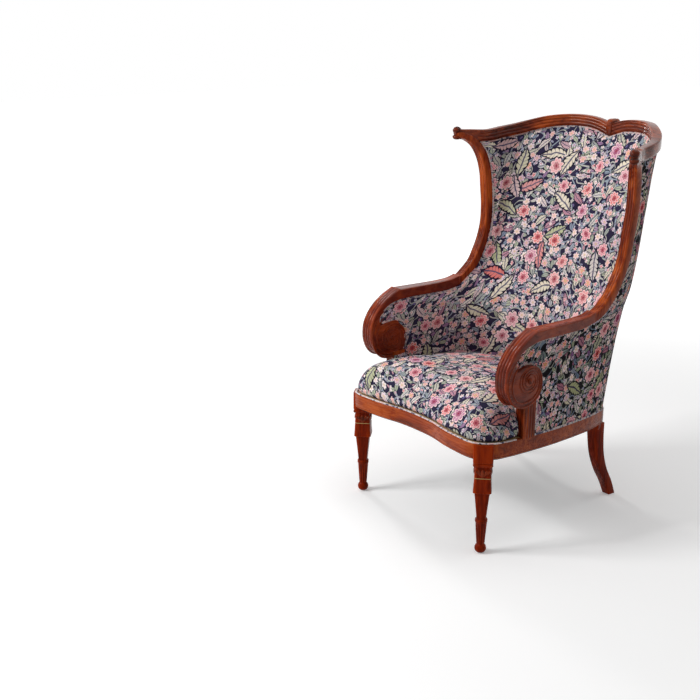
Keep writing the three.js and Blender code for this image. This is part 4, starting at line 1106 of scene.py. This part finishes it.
def minus(tree, a, b):
    return calc(tree, "SUBTRACT", a, b)


def times(tree, a, b):
    return calc(tree, "MULTIPLY", a, b)


def vectorCalc(tree, operation, *feeds, out=0):
    return put(tree, "VectorMath", dict(enumerate(feeds)), operation=operation).outputs[out]


def blendColour(tree, share, a, b):
    node = put(tree, "Mix", data_type="RGBA")
    for index, value in ((0, share), (6, a), (7, b)):
        if isinstance(value, bpy.types.NodeSocket):
            tree.links.new(value, node.inputs[index])
        else:
            node.inputs[index].default_value = value
    return node.outputs[2]


def rampOf(tree, share, stops):
    node = put(tree, "ValToRGB", {0: share})
    ramp = node.color_ramp
    while len(ramp.elements) < len(stops):
        ramp.elements.new(0.5)
    for element, (place, colour) in zip(ramp.elements, stops):
        element.position = place
        element.color = colour
    return node.outputs[0]


def softStep(tree, value, low, high):
    ends = {0: value, 1: low, 2: high, 3: 0.0, 4: 1.0}
    return put(tree, "MapRange", ends, interpolation_type="SMOOTHSTEP", clamp=True).outputs[0]


def makeGrain():
    group, ins, outs = newTree(
        "wood grain", [("Vector", "Vector", None), ("Figure", "Float", 6.0), ("Pores", "Float", 90.0)],
        [("Figure", "Float"), ("Streak", "Float"), ("Pores", "Float")])
    place, size, poreSize = ins.outputs[0], ins.outputs[1], ins.outputs[2]
    figure = noiseOf(group, place, size, 5.0, Roughness=0.55, Distortion=0.9)
    streak = noiseOf(group, place, times(group, size, 5.0), 3.0, Distortion=0.4)
    pores = noiseOf(group, place, poreSize, 2.0)
    group.links.new(figure.outputs[0], outs.inputs[0])
    group.links.new(streak.outputs[0], outs.inputs[1])
    group.links.new(softStep(group, pores.outputs[0], 0.56, 0.72), outs.inputs[2])
    return group


def makeEdgeHighlightAndHollowShade():  # where edges stand out and hollows lie, from the mesh's own shape; the woods lighten the edges (partly wear, partly painted highlight) and darken the hollows as painted shade
    group, ins, outs = newTree("edge wear", [("Vector", "Vector", None), ("Spread", "Float", 0.03)],
                               [("Edge", "Float"), ("Hollow", "Float")])
    point = put(group, "NewGeometry").outputs["Pointiness"]
    rough = noiseOf(group, ins.outputs[0], 60.0, 3.0).outputs[0]
    shifted = plus(group, point, times(group, minus(group, rough, 0.5), 0.03))
    group.links.new(softStep(group, shifted, 0.52, plus(group, 0.52, ins.outputs[1])), outs.inputs[0])
    hollow = softStep(group, minus(group, 1.0, shifted), 0.52, plus(group, 0.52, ins.outputs[1]))
    group.links.new(hollow, outs.inputs[1])
    return group


def makeWeave():
    group, ins, outs = newTree("cloth weave", [("Vector", "Vector", None), ("Threads", "Float", 900.0)],
                               [("Height", "Float"), ("Slub", "Float")])
    scaled = put(group, "VectorMath", {0: ins.outputs[0], "Scale": ins.outputs[1]}, operation="SCALE").outputs[0]
    parts = put(group, "SeparateXYZ", {0: scaled})
    across = calc(group, "SINE", times(group, parts.outputs[0], math.pi))
    along = calc(group, "SINE", times(group, parts.outputs[1], math.pi))
    height = times(group, calc(group, "ABSOLUTE", across), calc(group, "ABSOLUTE", along))
    slub = noiseOf(group, vectorCalc(group, "MULTIPLY", ins.outputs[0], (60.0, 700.0, 60.0)), 1.0, 2.0)
    group.links.new(height, outs.inputs[0])
    group.links.new(slub.outputs[0], outs.inputs[1])
    return group


def diceOf(group, place, scale):  # three chance values for each cell, the same at every run
    scaled = put(group, "VectorMath", {0: place, "Scale": scale}, operation="SCALE").outputs[0]
    dice = put(group, "TexWhiteNoise", {"Vector": scaled}, noise_dimensions="2D")
    return put(group, "SeparateColor", {0: dice.outputs["Color"]})


def makeFlowers():  # one round flower in each cell: petals, their veins, a rim and a heart
    group, ins, outs = newTree("printed flowers", [("Vector", "Vector", None), ("Scale", "Float", 12.0),
                                                   ("Petals", "Float", 6.0), ("Depth", "Float", 0.3),
                                                   ("Size", "Float", 0.42), ("Share", "Float", 1.0)],
                               [("Petal", "Float"), ("Rim", "Float"), ("Heart", "Float"), ("Vein", "Float"),
                                ("Pick", "Float")])
    spots = {"Vector": ins.outputs[0], "Scale": ins.outputs[1], "Randomness": 0.62}
    cell = put(group, "TexVoronoi", spots, voronoi_dimensions="2D")
    spread = diceOf(group, cell.outputs["Position"], 97.0)
    away = vectorCalc(group, "SUBTRACT", ins.outputs[0], cell.outputs["Position"])
    parts = put(group, "SeparateXYZ", {0: away})
    radius = times(group, vectorCalc(group, "LENGTH", away, out=1), ins.outputs[1])
    turn = calc(group, "ARCTAN2", parts.outputs[1], parts.outputs[0])
    turn = plus(group, turn, times(group, spread.outputs[0], 6.283))
    wave = calc(group, "COSINE", times(group, times(group, turn, ins.outputs[2]), 0.5))
    wave = calc(group, "ABSOLUTE", wave)
    size = times(group, ins.outputs[4], plus(group, 0.78, times(group, spread.outputs[1], 0.3)))
    shown = calc(group, "LESS_THAN", spread.outputs[2], ins.outputs[5])
    lobe = minus(group, 1.0, times(group, ins.outputs[3], minus(group, 1.0, wave)))
    border = times(group, size, lobe)
    share = calc(group, "DIVIDE", radius, calc(group, "MAXIMUM", border, 0.01))
    petal = times(group, minus(group, 1.0, softStep(group, share, 0.95, 1.03)), shown)
    rim = times(group, times(group, softStep(group, share, 0.8, 0.87), petal), shown)
    heart = times(group, minus(group, 1.0, softStep(group, share, 0.26, 0.31)), shown)
    veins = calc(group, "COSINE", times(group, turn, times(group, ins.outputs[2], 3.0)))
    vein = times(group, softStep(group, veins, 0.45, 0.9), times(group, petal, softStep(group, share, 0.5, 0.7)))
    for index, socket in enumerate((petal, rim, heart, vein, spread.outputs[1])):
        group.links.new(socket, outs.inputs[index])
    return group


def makeLeaves():  # one pointed leaf in each cell, at its own angle, with a midrib
    group, ins, outs = newTree("printed leaves", [("Vector", "Vector", None), ("Scale", "Float", 20.0),
                                                  ("Length", "Float", 0.5), ("Width", "Float", 0.2),
                                                  ("Share", "Float", 0.8), ("Lobes", "Float", 0.0)],
                               [("Leaf", "Float"), ("Rib", "Float"), ("Pick", "Float")])
    spots = {"Vector": ins.outputs[0], "Scale": ins.outputs[1], "Randomness": 0.8}
    cell = put(group, "TexVoronoi", spots, voronoi_dimensions="2D")
    spread = diceOf(group, cell.outputs["Position"], 131.0)
    away = vectorCalc(group, "SUBTRACT", ins.outputs[0], cell.outputs["Position"])
    angle = times(group, spread.outputs[0], 6.283)
    turned = put(group, "VectorRotate", {"Vector": away, "Angle": angle}, rotation_type="Z_AXIS")
    parts = put(group, "SeparateXYZ", {0: turned.outputs[0]})
    x = calc(group, "DIVIDE", times(group, parts.outputs[0], ins.outputs[1]), ins.outputs[2])
    bow = times(group, times(group, x, x), 0.05)
    y = calc(group, "ABSOLUTE", minus(group, times(group, parts.outputs[1], ins.outputs[1]), bow))
    half = times(group, ins.outputs[3], minus(group, 1.0, times(group, x, x)))
    slant = minus(group, times(group, x, 11.0), times(group, calc(group, "DIVIDE", y, ins.outputs[3]), 2.4))
    notch = minus(group, 1.0, calc(group, "ABSOLUTE", calc(group, "SINE", slant)))
    deep = times(group, times(group, notch, notch), ins.outputs[5])
    half = times(group, half, minus(group, 1.0, deep))
    sideVein = times(group, softStep(group, notch, 0.78, 0.96), calc(group, "GREATER_THAN", ins.outputs[5], 0.05))
    shown = calc(group, "LESS_THAN", spread.outputs[2], ins.outputs[4])
    inLeaf = softStep(group, minus(group, half, y), 0.0, 0.02)
    leaf = times(group, inLeaf, shown)
    midrib = minus(group, 1.0, softStep(group, y, 0.012, 0.03))
    rib = times(group, leaf, calc(group, "MAXIMUM", midrib, sideVein))
    for index, socket in enumerate((leaf, rib, spread.outputs[1])):
        group.links.new(socket, outs.inputs[index])
    return group


grainGroup, edgeHighlightShadeGroup, weaveGroup = makeGrain(), makeEdgeHighlightAndHollowShade(), makeWeave()
flowerGroup, leafGroup = makeFlowers(), makeLeaves()


def groupNode(tree, group, **feeds):
    node = tree.nodes.new("ShaderNodeGroup")
    node.node_tree = group
    for key, value in feeds.items():
        if isinstance(value, bpy.types.NodeSocket):
            tree.links.new(value, node.inputs[key])
        else:
            node.inputs[key].default_value = value
    return node


def newMaterial(name, **sockets):
    material = bpy.data.materials.new(name)
    material.use_nodes = True
    tree = material.node_tree
    shader = tree.nodes["Principled BSDF"]
    for key, value in sockets.items():
        shader.inputs[key.replace("_", " ")].default_value = value
    return material, tree, shader


def makeWood(name, stretch, dark, middle, light, figure, coat=0.34, edgeRubAndHighlight=0.34, gloss=0.22):
    material, tree, shader = newMaterial(name, Coat_Weight=coat, Coat_Roughness=0.09, Coat_IOR=1.3, IOR=1.3,
                                         Specular_IOR_Level=gloss, Specular_Tint=(1, 0.6, 0.45, 1))
    place = put(tree, "TexCoord").outputs["Object"]
    along = put(tree, "Mapping", {"Vector": place, "Scale": stretch}).outputs[0]
    grain = groupNode(tree, grainGroup, Vector=along, Figure=figure, Pores=130.0)
    edgeAndHollow = groupNode(tree, edgeHighlightShadeGroup, Vector=place, Spread=0.05)
    cloud = noiseOf(tree, place, 3.5, 2.0).outputs[0]
    share = plus(tree, times(tree, grain.outputs[0], 0.62),
                 plus(tree, times(tree, grain.outputs[1], 0.22), times(tree, cloud, 0.26)), clamp=True)
    colour = rampOf(tree, share, [(0.36, dark), (0.53, middle), (0.7, light)])
    colour = blendColour(tree, times(tree, grain.outputs[2], 0.45), colour, dark)
    # painted shade: the hollows are darkened towards a near-black red
    colour = blendColour(tree, times(tree, edgeAndHollow.outputs[1], 0.75), colour, tint(34, 12, 8))
    # edges lightened: partly rubbed wear, partly painted highlight
    colour = blendColour(tree, times(tree, edgeAndHollow.outputs[0], edgeRubAndHighlight), colour, light)
    tree.links.new(colour, shader.inputs["Base Color"])
    rough = plus(tree, 0.21, times(tree, grain.outputs[1], 0.14))
    rough = plus(tree, rough, times(tree, edgeAndHollow.outputs[1], 0.25), clamp=True)
    tree.links.new(rough, shader.inputs["Roughness"])
    height = minus(tree, times(tree, grain.outputs[1], 0.25), times(tree, grain.outputs[2], 0.5))
    bump = put(tree, "Bump", {"Height": height, "Strength": 0.12, "Distance": 0.0006})
    tree.links.new(bump.outputs[0], shader.inputs["Normal"])
    return material


redDark, redMiddle, redLight = tint(46, 10, 4), tint(116, 34, 9), tint(182, 74, 22)
railWood = makeWood("polished mahogany, rails", (3, 30, 30),
                    tint(84, 26, 8), tint(142, 52, 13), tint(184, 84, 26), 1.3)
legWood = makeWood("polished mahogany, legs", (30, 30, 3),
                   tint(52, 10, 4), tint(122, 30, 6), tint(172, 58, 12), 1.2, coat=0.06, gloss=0.12)
armWood = makeWood("polished mahogany, arms", (28, 4, 9), redDark, redMiddle, redLight, 1.2, coat=0.6)
wingWood = makeWood("polished mahogany, wings", (28, 28, 4), redDark, tint(126, 42, 12), tint(194, 88, 28), 1.2)
crestWood = makeWood("polished mahogany, crest", (5, 12, 26),
                     tint(44, 10, 5), tint(104, 34, 11), tint(178, 78, 26), 1.2, coat=0.6)
# painted shade: the carving, volutes and ears get a darker copy of the mahogany
carvedWoodShadeDark = makeWood("polished mahogany, carving", (14, 14, 14),
                      tint(26, 7, 4), tint(72, 20, 7), tint(150, 54, 16), 1.6, edgeRubAndHighlight=0.6)
print("woods mixed")


# the print's layers from the ground up: cells per metre, sizes as shares of a cell, and the share of cells shown
printLayers = [
    {"kind": "leaf", "shift": 0.0, "cells": 62.0, "length": 0.46, "width": 0.21, "share": 0.42, "lobes": 0.0,
     "shades": [(0.25, tint(200, 196, 212)), (0.5, tint(126, 140, 168)), (0.75, tint(212, 152, 162)),
                (0.95, tint(106, 96, 146))]},
    {"kind": "leaf", "shift": 0.37, "cells": 33.0, "length": 0.5, "width": 0.2, "share": 0.8, "lobes": 0.0,
     "shades": [(0.3, tint(178, 184, 160)), (0.55, tint(136, 150, 170)), (0.75, tint(228, 220, 210)),
                (0.95, tint(160, 124, 160))]},
    {"kind": "leaf", "shift": 0.71, "cells": 18.5, "length": 0.52, "width": 0.19, "share": 0.75, "lobes": 0.3,
     "shades": [(0.2, tint(222, 214, 194)), (0.5, tint(146, 156, 152)), (0.7, tint(232, 224, 216)),
                (0.92, tint(190, 140, 154))]},
    {"kind": "bloom", "shift": 0.13, "cells": 54.0, "petals": 5.0, "depth": 0.5, "size": 0.36, "share": 0.5,
     "shades": [(0.3, tint(242, 234, 232)), (0.6, tint(168, 168, 204)), (0.85, tint(226, 140, 148))],
     "rim": tint(250, 244, 240), "heart": tint(196, 92, 90)},
    {"kind": "bloom", "shift": 0.59, "cells": 27.0, "petals": 6.0, "depth": 0.42, "size": 0.36, "share": 0.5,
     "shades": [(0.25, tint(228, 152, 158)), (0.5, tint(240, 230, 230)), (0.7, tint(174, 132, 182)),
                (0.9, tint(224, 120, 104))],
     "rim": tint(248, 232, 230), "heart": tint(222, 196, 150)},
    {"kind": "leaf", "shift": 0.53, "cells": 9.5, "length": 0.46, "width": 0.17, "share": 0.62, "lobes": 0.46,
     "shades": [(0.3, tint(226, 216, 196)), (0.5, tint(180, 184, 146)), (0.7, tint(214, 204, 204)),
                (0.9, tint(216, 122, 116))]},
    {"kind": "bloom", "shift": 0.91, "cells": 13.5, "petals": 8.0, "depth": 0.3, "size": 0.35, "share": 0.42,
     "shades": [(0.2, tint(220, 132, 148)), (0.45, tint(224, 106, 96)), (0.7, tint(230, 172, 176)),
                (0.92, tint(186, 118, 158))],
     "rim": tint(244, 214, 212), "heart": tint(150, 60, 74)},
]
printEdge, printRib = tint(30, 26, 46), tint(84, 78, 104)
printStems = [(17.0, 0.03, tint(150, 160, 172)), (26.0, 0.03, tint(188, 186, 178))]  # scale, width, colour
seatAndInsideGround = (tint(30, 27, 46), tint(58, 53, 82))  # inside and seat
outsideShadeGround = (tint(12, 9, 16), tint(34, 28, 40))  # outside: a darker ground, painted shade


def printLeaves(tree, colour, flat, layer):
    place = vectorCalc(tree, "ADD", flat, (layer["shift"], layer["shift"] * 2, 0))
    size = {"Vector": place, "Scale": layer["cells"], "Share": layer["share"]}
    around = groupNode(tree, leafGroup, Length=layer["length"] * 1.1, Width=layer["width"] * 1.24, **size)
    colour = blendColour(tree, around.outputs[0], colour, printEdge)
    leaf = groupNode(tree, leafGroup, Length=layer["length"], Width=layer["width"], Lobes=layer["lobes"], **size)
    colour = blendColour(tree, leaf.outputs[0], colour, rampOf(tree, leaf.outputs[2], layer["shades"]))
    return blendColour(tree, leaf.outputs[1], colour, printRib)


def printBlooms(tree, colour, flat, layer):  # a dark edge, the petals, and a smaller ring of petals round the heart
    place = vectorCalc(tree, "ADD", flat, (layer["shift"], layer["shift"] * 3, 0))
    size = {"Vector": place, "Scale": layer["cells"], "Share": layer["share"], "Depth": layer["depth"]}
    around = groupNode(tree, flowerGroup, Petals=layer["petals"], Size=layer["size"] * 1.16, **size)
    colour = blendColour(tree, around.outputs[0], colour, printEdge)
    bloom = groupNode(tree, flowerGroup, Petals=layer["petals"], Size=layer["size"], **size)
    petals = rampOf(tree, bloom.outputs[4], layer["shades"])
    colour = blendColour(tree, bloom.outputs[0], colour, petals)
    colour = blendColour(tree, times(tree, bloom.outputs[3], 0.7), colour, layer["rim"])
    colour = blendColour(tree, bloom.outputs[1], colour, layer["rim"])
    within = groupNode(tree, flowerGroup, Petals=layer["petals"] - 1, Size=layer["size"] * 0.58, **size)
    colour = blendColour(tree, within.outputs[0], colour, blendColour(tree, 0.5, petals, layer["heart"]))
    colour = blendColour(tree, within.outputs[1], colour, layer["rim"])
    return blendColour(tree, within.outputs[2], colour, layer["heart"])


def makePrint(name, ground, brightness, contrast):
    material, tree, shader = newMaterial(name, Sheen_Weight=0.02, Sheen_Roughness=0.5, Specular_IOR_Level=0.06)
    flat = put(tree, "UVMap", uv_map="cloth").outputs[0]
    drift = vectorCalc(tree, "SUBTRACT", noiseOf(tree, flat, 30.0, 1.5).outputs["Color"], (0.5, 0.5, 0.5))
    pulled = vectorCalc(tree, "ADD", flat, vectorCalc(tree, "MULTIPLY", drift, (0.014, 0.014, 0)))
    colour = blendColour(tree, noiseOf(tree, flat, 9.0, 2.0).outputs[0], *ground)
    for scale, width, shade in printStems:  # thin curling stems from the contour lines of a slow noise
        waves = noiseOf(tree, vectorCalc(tree, "ADD", pulled, (scale, 3.1, 0)), scale, 0.0).outputs[0]
        apart = calc(tree, "ABSOLUTE", minus(tree, waves, 0.5))
        colour = blendColour(tree, minus(tree, 1.0, softStep(tree, apart, width * 0.5, width)), colour, shade)
    for layer in printLayers:
        colour = (printLeaves if layer["kind"] == "leaf" else printBlooms)(tree, colour, pulled, layer)
    weave = groupNode(tree, weaveGroup, Vector=flat, Threads=1100.0)
    dust = noiseOf(tree, flat, 240.0, 2.0).outputs[0]
    shade = calc(tree, "MULTIPLY_ADD", weave.outputs[0], 0.16, 0.86)
    shade = times(tree, shade, calc(tree, "MULTIPLY_ADD", dust, 0.3, 0.86 * brightness))
    colour = vectorCalc(tree, "MULTIPLY", colour, put(tree, "CombineXYZ", {0: shade, 1: shade, 2: shade}).outputs[0])
    # a gamma above 1 deepens the mid tones; on the outside cloth this is painted shade
    colour = put(tree, "Gamma", {"Color": colour, "Gamma": contrast}).outputs[0]
    tree.links.new(colour, shader.inputs["Base Color"])
    tree.links.new(calc(tree, "MULTIPLY_ADD", weave.outputs[1], 0.15, 0.78), shader.inputs["Roughness"])
    height = plus(tree, weave.outputs[0], times(tree, weave.outputs[1], 0.5))
    bump = put(tree, "Bump", {"Height": height, "Strength": 0.35, "Distance": 0.0006})
    tree.links.new(bump.outputs[0], shader.inputs["Normal"])
    return material


printCloth = makePrint("printed cloth, flowers on slate", seatAndInsideGround, 1.17, 1.0)
# the outside cloth: the same print with a darker ground and deeper mid tones, as painted shade
outerClothShaded = makePrint("printed cloth, unfaded outside", outsideShadeGround, 1.28, 1.45)


def makePiping(name):
    material, tree, shader = newMaterial(name, Sheen_Weight=0.2, Specular_IOR_Level=0.25)
    place = put(tree, "TexCoord").outputs["Object"]
    dashes = noiseOf(tree, place, 95.0, 1.5).outputs[0]
    colour = rampOf(tree, dashes, [(0.38, tint(60, 56, 84)), (0.44, tint(176, 168, 184)),
                                   (0.5, tint(236, 228, 222)), (0.7, tint(220, 164, 160))])
    tree.links.new(colour, shader.inputs["Base Color"])
    weave = groupNode(tree, weaveGroup, Vector=place, Threads=1400.0)
    tree.links.new(calc(tree, "MULTIPLY_ADD", weave.outputs[1], 0.2, 0.7), shader.inputs["Roughness"])
    bump = put(tree, "Bump", {"Height": weave.outputs[0], "Strength": 0.3, "Distance": 0.0004})
    tree.links.new(bump.outputs[0], shader.inputs["Normal"])
    return material


pipingCloth = makePiping("piping of the printed cloth")


def makePlain(name, dark, light, scale, roughness, metallic=0.0, stretch=(1, 1, 1)):
    material, tree, shader = newMaterial(name, Metallic=metallic)
    place = put(tree, "Mapping", {"Vector": put(tree, "TexCoord").outputs["Object"], "Scale": stretch}).outputs[0]
    grain = groupNode(tree, grainGroup, Vector=place, Figure=scale, Pores=scale * 6)
    tree.links.new(rampOf(tree, grain.outputs[0], [(0.3, dark), (0.7, light)]), shader.inputs["Base Color"])
    tree.links.new(calc(tree, "MULTIPLY_ADD", grain.outputs[1], 0.2, roughness - 0.1), shader.inputs["Roughness"])
    bump = put(tree, "Bump", {"Height": grain.outputs[1], "Strength": 0.2, "Distance": 0.0005})
    tree.links.new(bump.outputs[0], shader.inputs["Normal"])
    return material


beech = makePlain("beech frame", tint(168, 128, 84), tint(206, 170, 122), 4.0, 0.6, 0.0, (4, 16, 16))
juteCloth = makePlain("jute webbing", tint(146, 118, 78), tint(192, 162, 112), 160.0, 0.9)
steel = makePlain("steel", tint(120, 112, 98), tint(168, 160, 148), 60.0, 0.4, 1.0)
cambric = makePlain("black cambric", tint(22, 22, 25), tint(40, 40, 44), 300.0, 0.9)
pale = makePlain("pale inlay line", tint(176, 132, 74), tint(214, 176, 112), 40.0, 0.35)
print("materials mixed")

# every piece gets its finish and the CAD nodes that it stands for
finishPiece(frontRail, railWood, ["front_rail"], 35)
bothSidesOf(sideRail, railWood, ["side_rail_right"], 35)
finishPiece(backRail, railWood, ["back_rail"], 35)
bothSidesOf(leg, legWood, ["front_leg_right"], 32)
bothSidesOf(legCarving, carvedWoodShadeDark, [], 60)
bothSidesOf(legLine, pale, [], 35)
bothSidesOf(rearSabre, legWood, ["rear_leg_right"], 35)
bothSidesOf(armPiece, armWood, ["arm_right"], 42)
bothSidesOf(voluteCarving, carvedWoodShadeDark, [], 60)
bothSidesOf(stilePiece, wingWood, ["wing_stile_right"], 42)
bothSidesOf(crestPiece, crestWood, ["crest_rail_right"], 42)
bothSidesOf(postPiece, wingWood, ["arm_post_right"], 42)
for piece, side in zip(bothSidesOf(postCloth, printCloth, [], 50), ("right", "left")):
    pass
finishPiece(knucklePiece, crestWood, ["crest_knuckle"], 50)
bothSidesOf(earPiece, carvedWoodShadeDark, ["ear_scroll_right"], 45)
finishPiece(inside, printCloth,
            ["inside_back_pad", "inside_side_pad_right", "inside_side_pad_left"], None)
finishPiece(outside, outerClothShaded,
            ["outside_back_cover", "outside_side_cover_right", "outside_side_cover_left"], 60)
finishPiece(seatPiece, printCloth, ["seat_pad"], None)
finishPiece(seatCords, pipingCloth, ["seat_welt"], 60)
for trim in trims:
    bothSidesOf(trim, pipingCloth, [], 60)
for trim in (crestGimp, backGimp, backPiping):
    finishPiece(trim, pipingCloth, [], 60)
finishPiece(dustPiece, cambric, ["dust_cover"], 60)

# CAD nodes that stay get the same finishes in their own slots
kept = {"seat_hessian": juteCloth, "seat_webbing": juteCloth, "seat_spring": steel,
        "front_corner_screw": steel, "rear_corner_screw": steel, "arm_stringer": beech, "back_stringer": beech,
        "front_corner_block": beech, "rear_corner_block": beech}
for label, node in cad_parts.items():
    for start, material in kept.items():
        if label.startswith(start):
            for place in node.material_slots:
                place.material = material
print("pieces finished")

# floor, light and world
def seenDirectly(tree):  # 1 for what the camera, a mirror or glass looks at
    path = put(tree, "LightPath").outputs
    through = calc(tree, "MAXIMUM", path["Is Glossy Ray"], path["Is Transmission Ray"])
    return calc(tree, "MAXIMUM", path["Is Camera Ray"], through)


studio = {
    "floorSize": 30, "floorLevel": -0.0012, "floorGlow": (0.24, 0.8), "glowFrom": (1.0, 3.6), "aim": (0, 0, 0.55),
    "worldLeft": 0.5, "worldRight": 0.05,
    "lamps": {  # power, place, size
        "key": (104, (-1.9, -3.6, 2.9), 1.3), "glint": (34, (-1.2, -3.9, 3.2), 0.3), "fill": (2, (3.8, -0.6, 1.6), 0.8),
        "top": (34, (0.6, 0.6, 3.8), 2.4), "strip": (20, (-3.2, 0.2, 1.9), 0.4),
    },
}
bpy.ops.object.select_all(action="DESELECT")
bpy.ops.mesh.primitive_plane_add(size=studio["floorSize"], location=(0, 0, studio["floorLevel"]))
floor = bpy.context.object
floor.name = "studio_floor"
floorMaterial, tree, shader = newMaterial("studio floor", Roughness=0.9, Specular_IOR_Level=0.1)
shader.inputs["Base Color"].default_value = tint(240, 240, 240)
away = vectorCalc(tree, "LENGTH", put(tree, "TexCoord").outputs["Object"], out=1)
ends = dict(enumerate(studio["glowFrom"] + studio["floorGlow"], 1))
glow = put(tree, "MapRange", {0: away, **ends}, interpolation_type="SMOOTHSTEP", clamp=True).outputs[0]
shader.inputs["Emission Color"].default_value = (1, 1, 1, 1)
tree.links.new(times(tree, glow, seenDirectly(tree)), shader.inputs["Emission Strength"])
floor.data.materials.append(floorMaterial)
floor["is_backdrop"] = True
for label, (power, place, size) in studio["lamps"].items():
    bpy.ops.object.light_add(type="AREA", location=place)
    lamp = bpy.context.object
    lamp.name = label + "_light"
    lamp.data.energy, lamp.data.size = power, size
    lamp.rotation_euler = (Vector(studio["aim"]) - Vector(place)).to_track_quat("-Z", "Y").to_euler()
world = bpy.context.scene.world or bpy.data.worlds.new("studio")
bpy.context.scene.world = world
world.use_nodes = True
tree = world.node_tree
background = tree.nodes["Background"]
side = put(tree, "SeparateXYZ", {0: put(tree, "TexCoord").outputs["Generated"]}).outputs[0]
ends = {0: side, 1: -0.8, 2: 0.8, 3: studio["worldLeft"], 4: studio["worldRight"]}
level = put(tree, "MapRange", ends, clamp=True).outputs[0]
strength = plus(tree, level, times(tree, seenDirectly(tree), minus(tree, 1.0, level)))
background.inputs[0].default_value = (1, 1, 1, 1)
tree.links.new(strength, background.inputs[1])
bpy.context.scene.view_settings.view_transform = "Standard"

low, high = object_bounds()
print("scene ready")
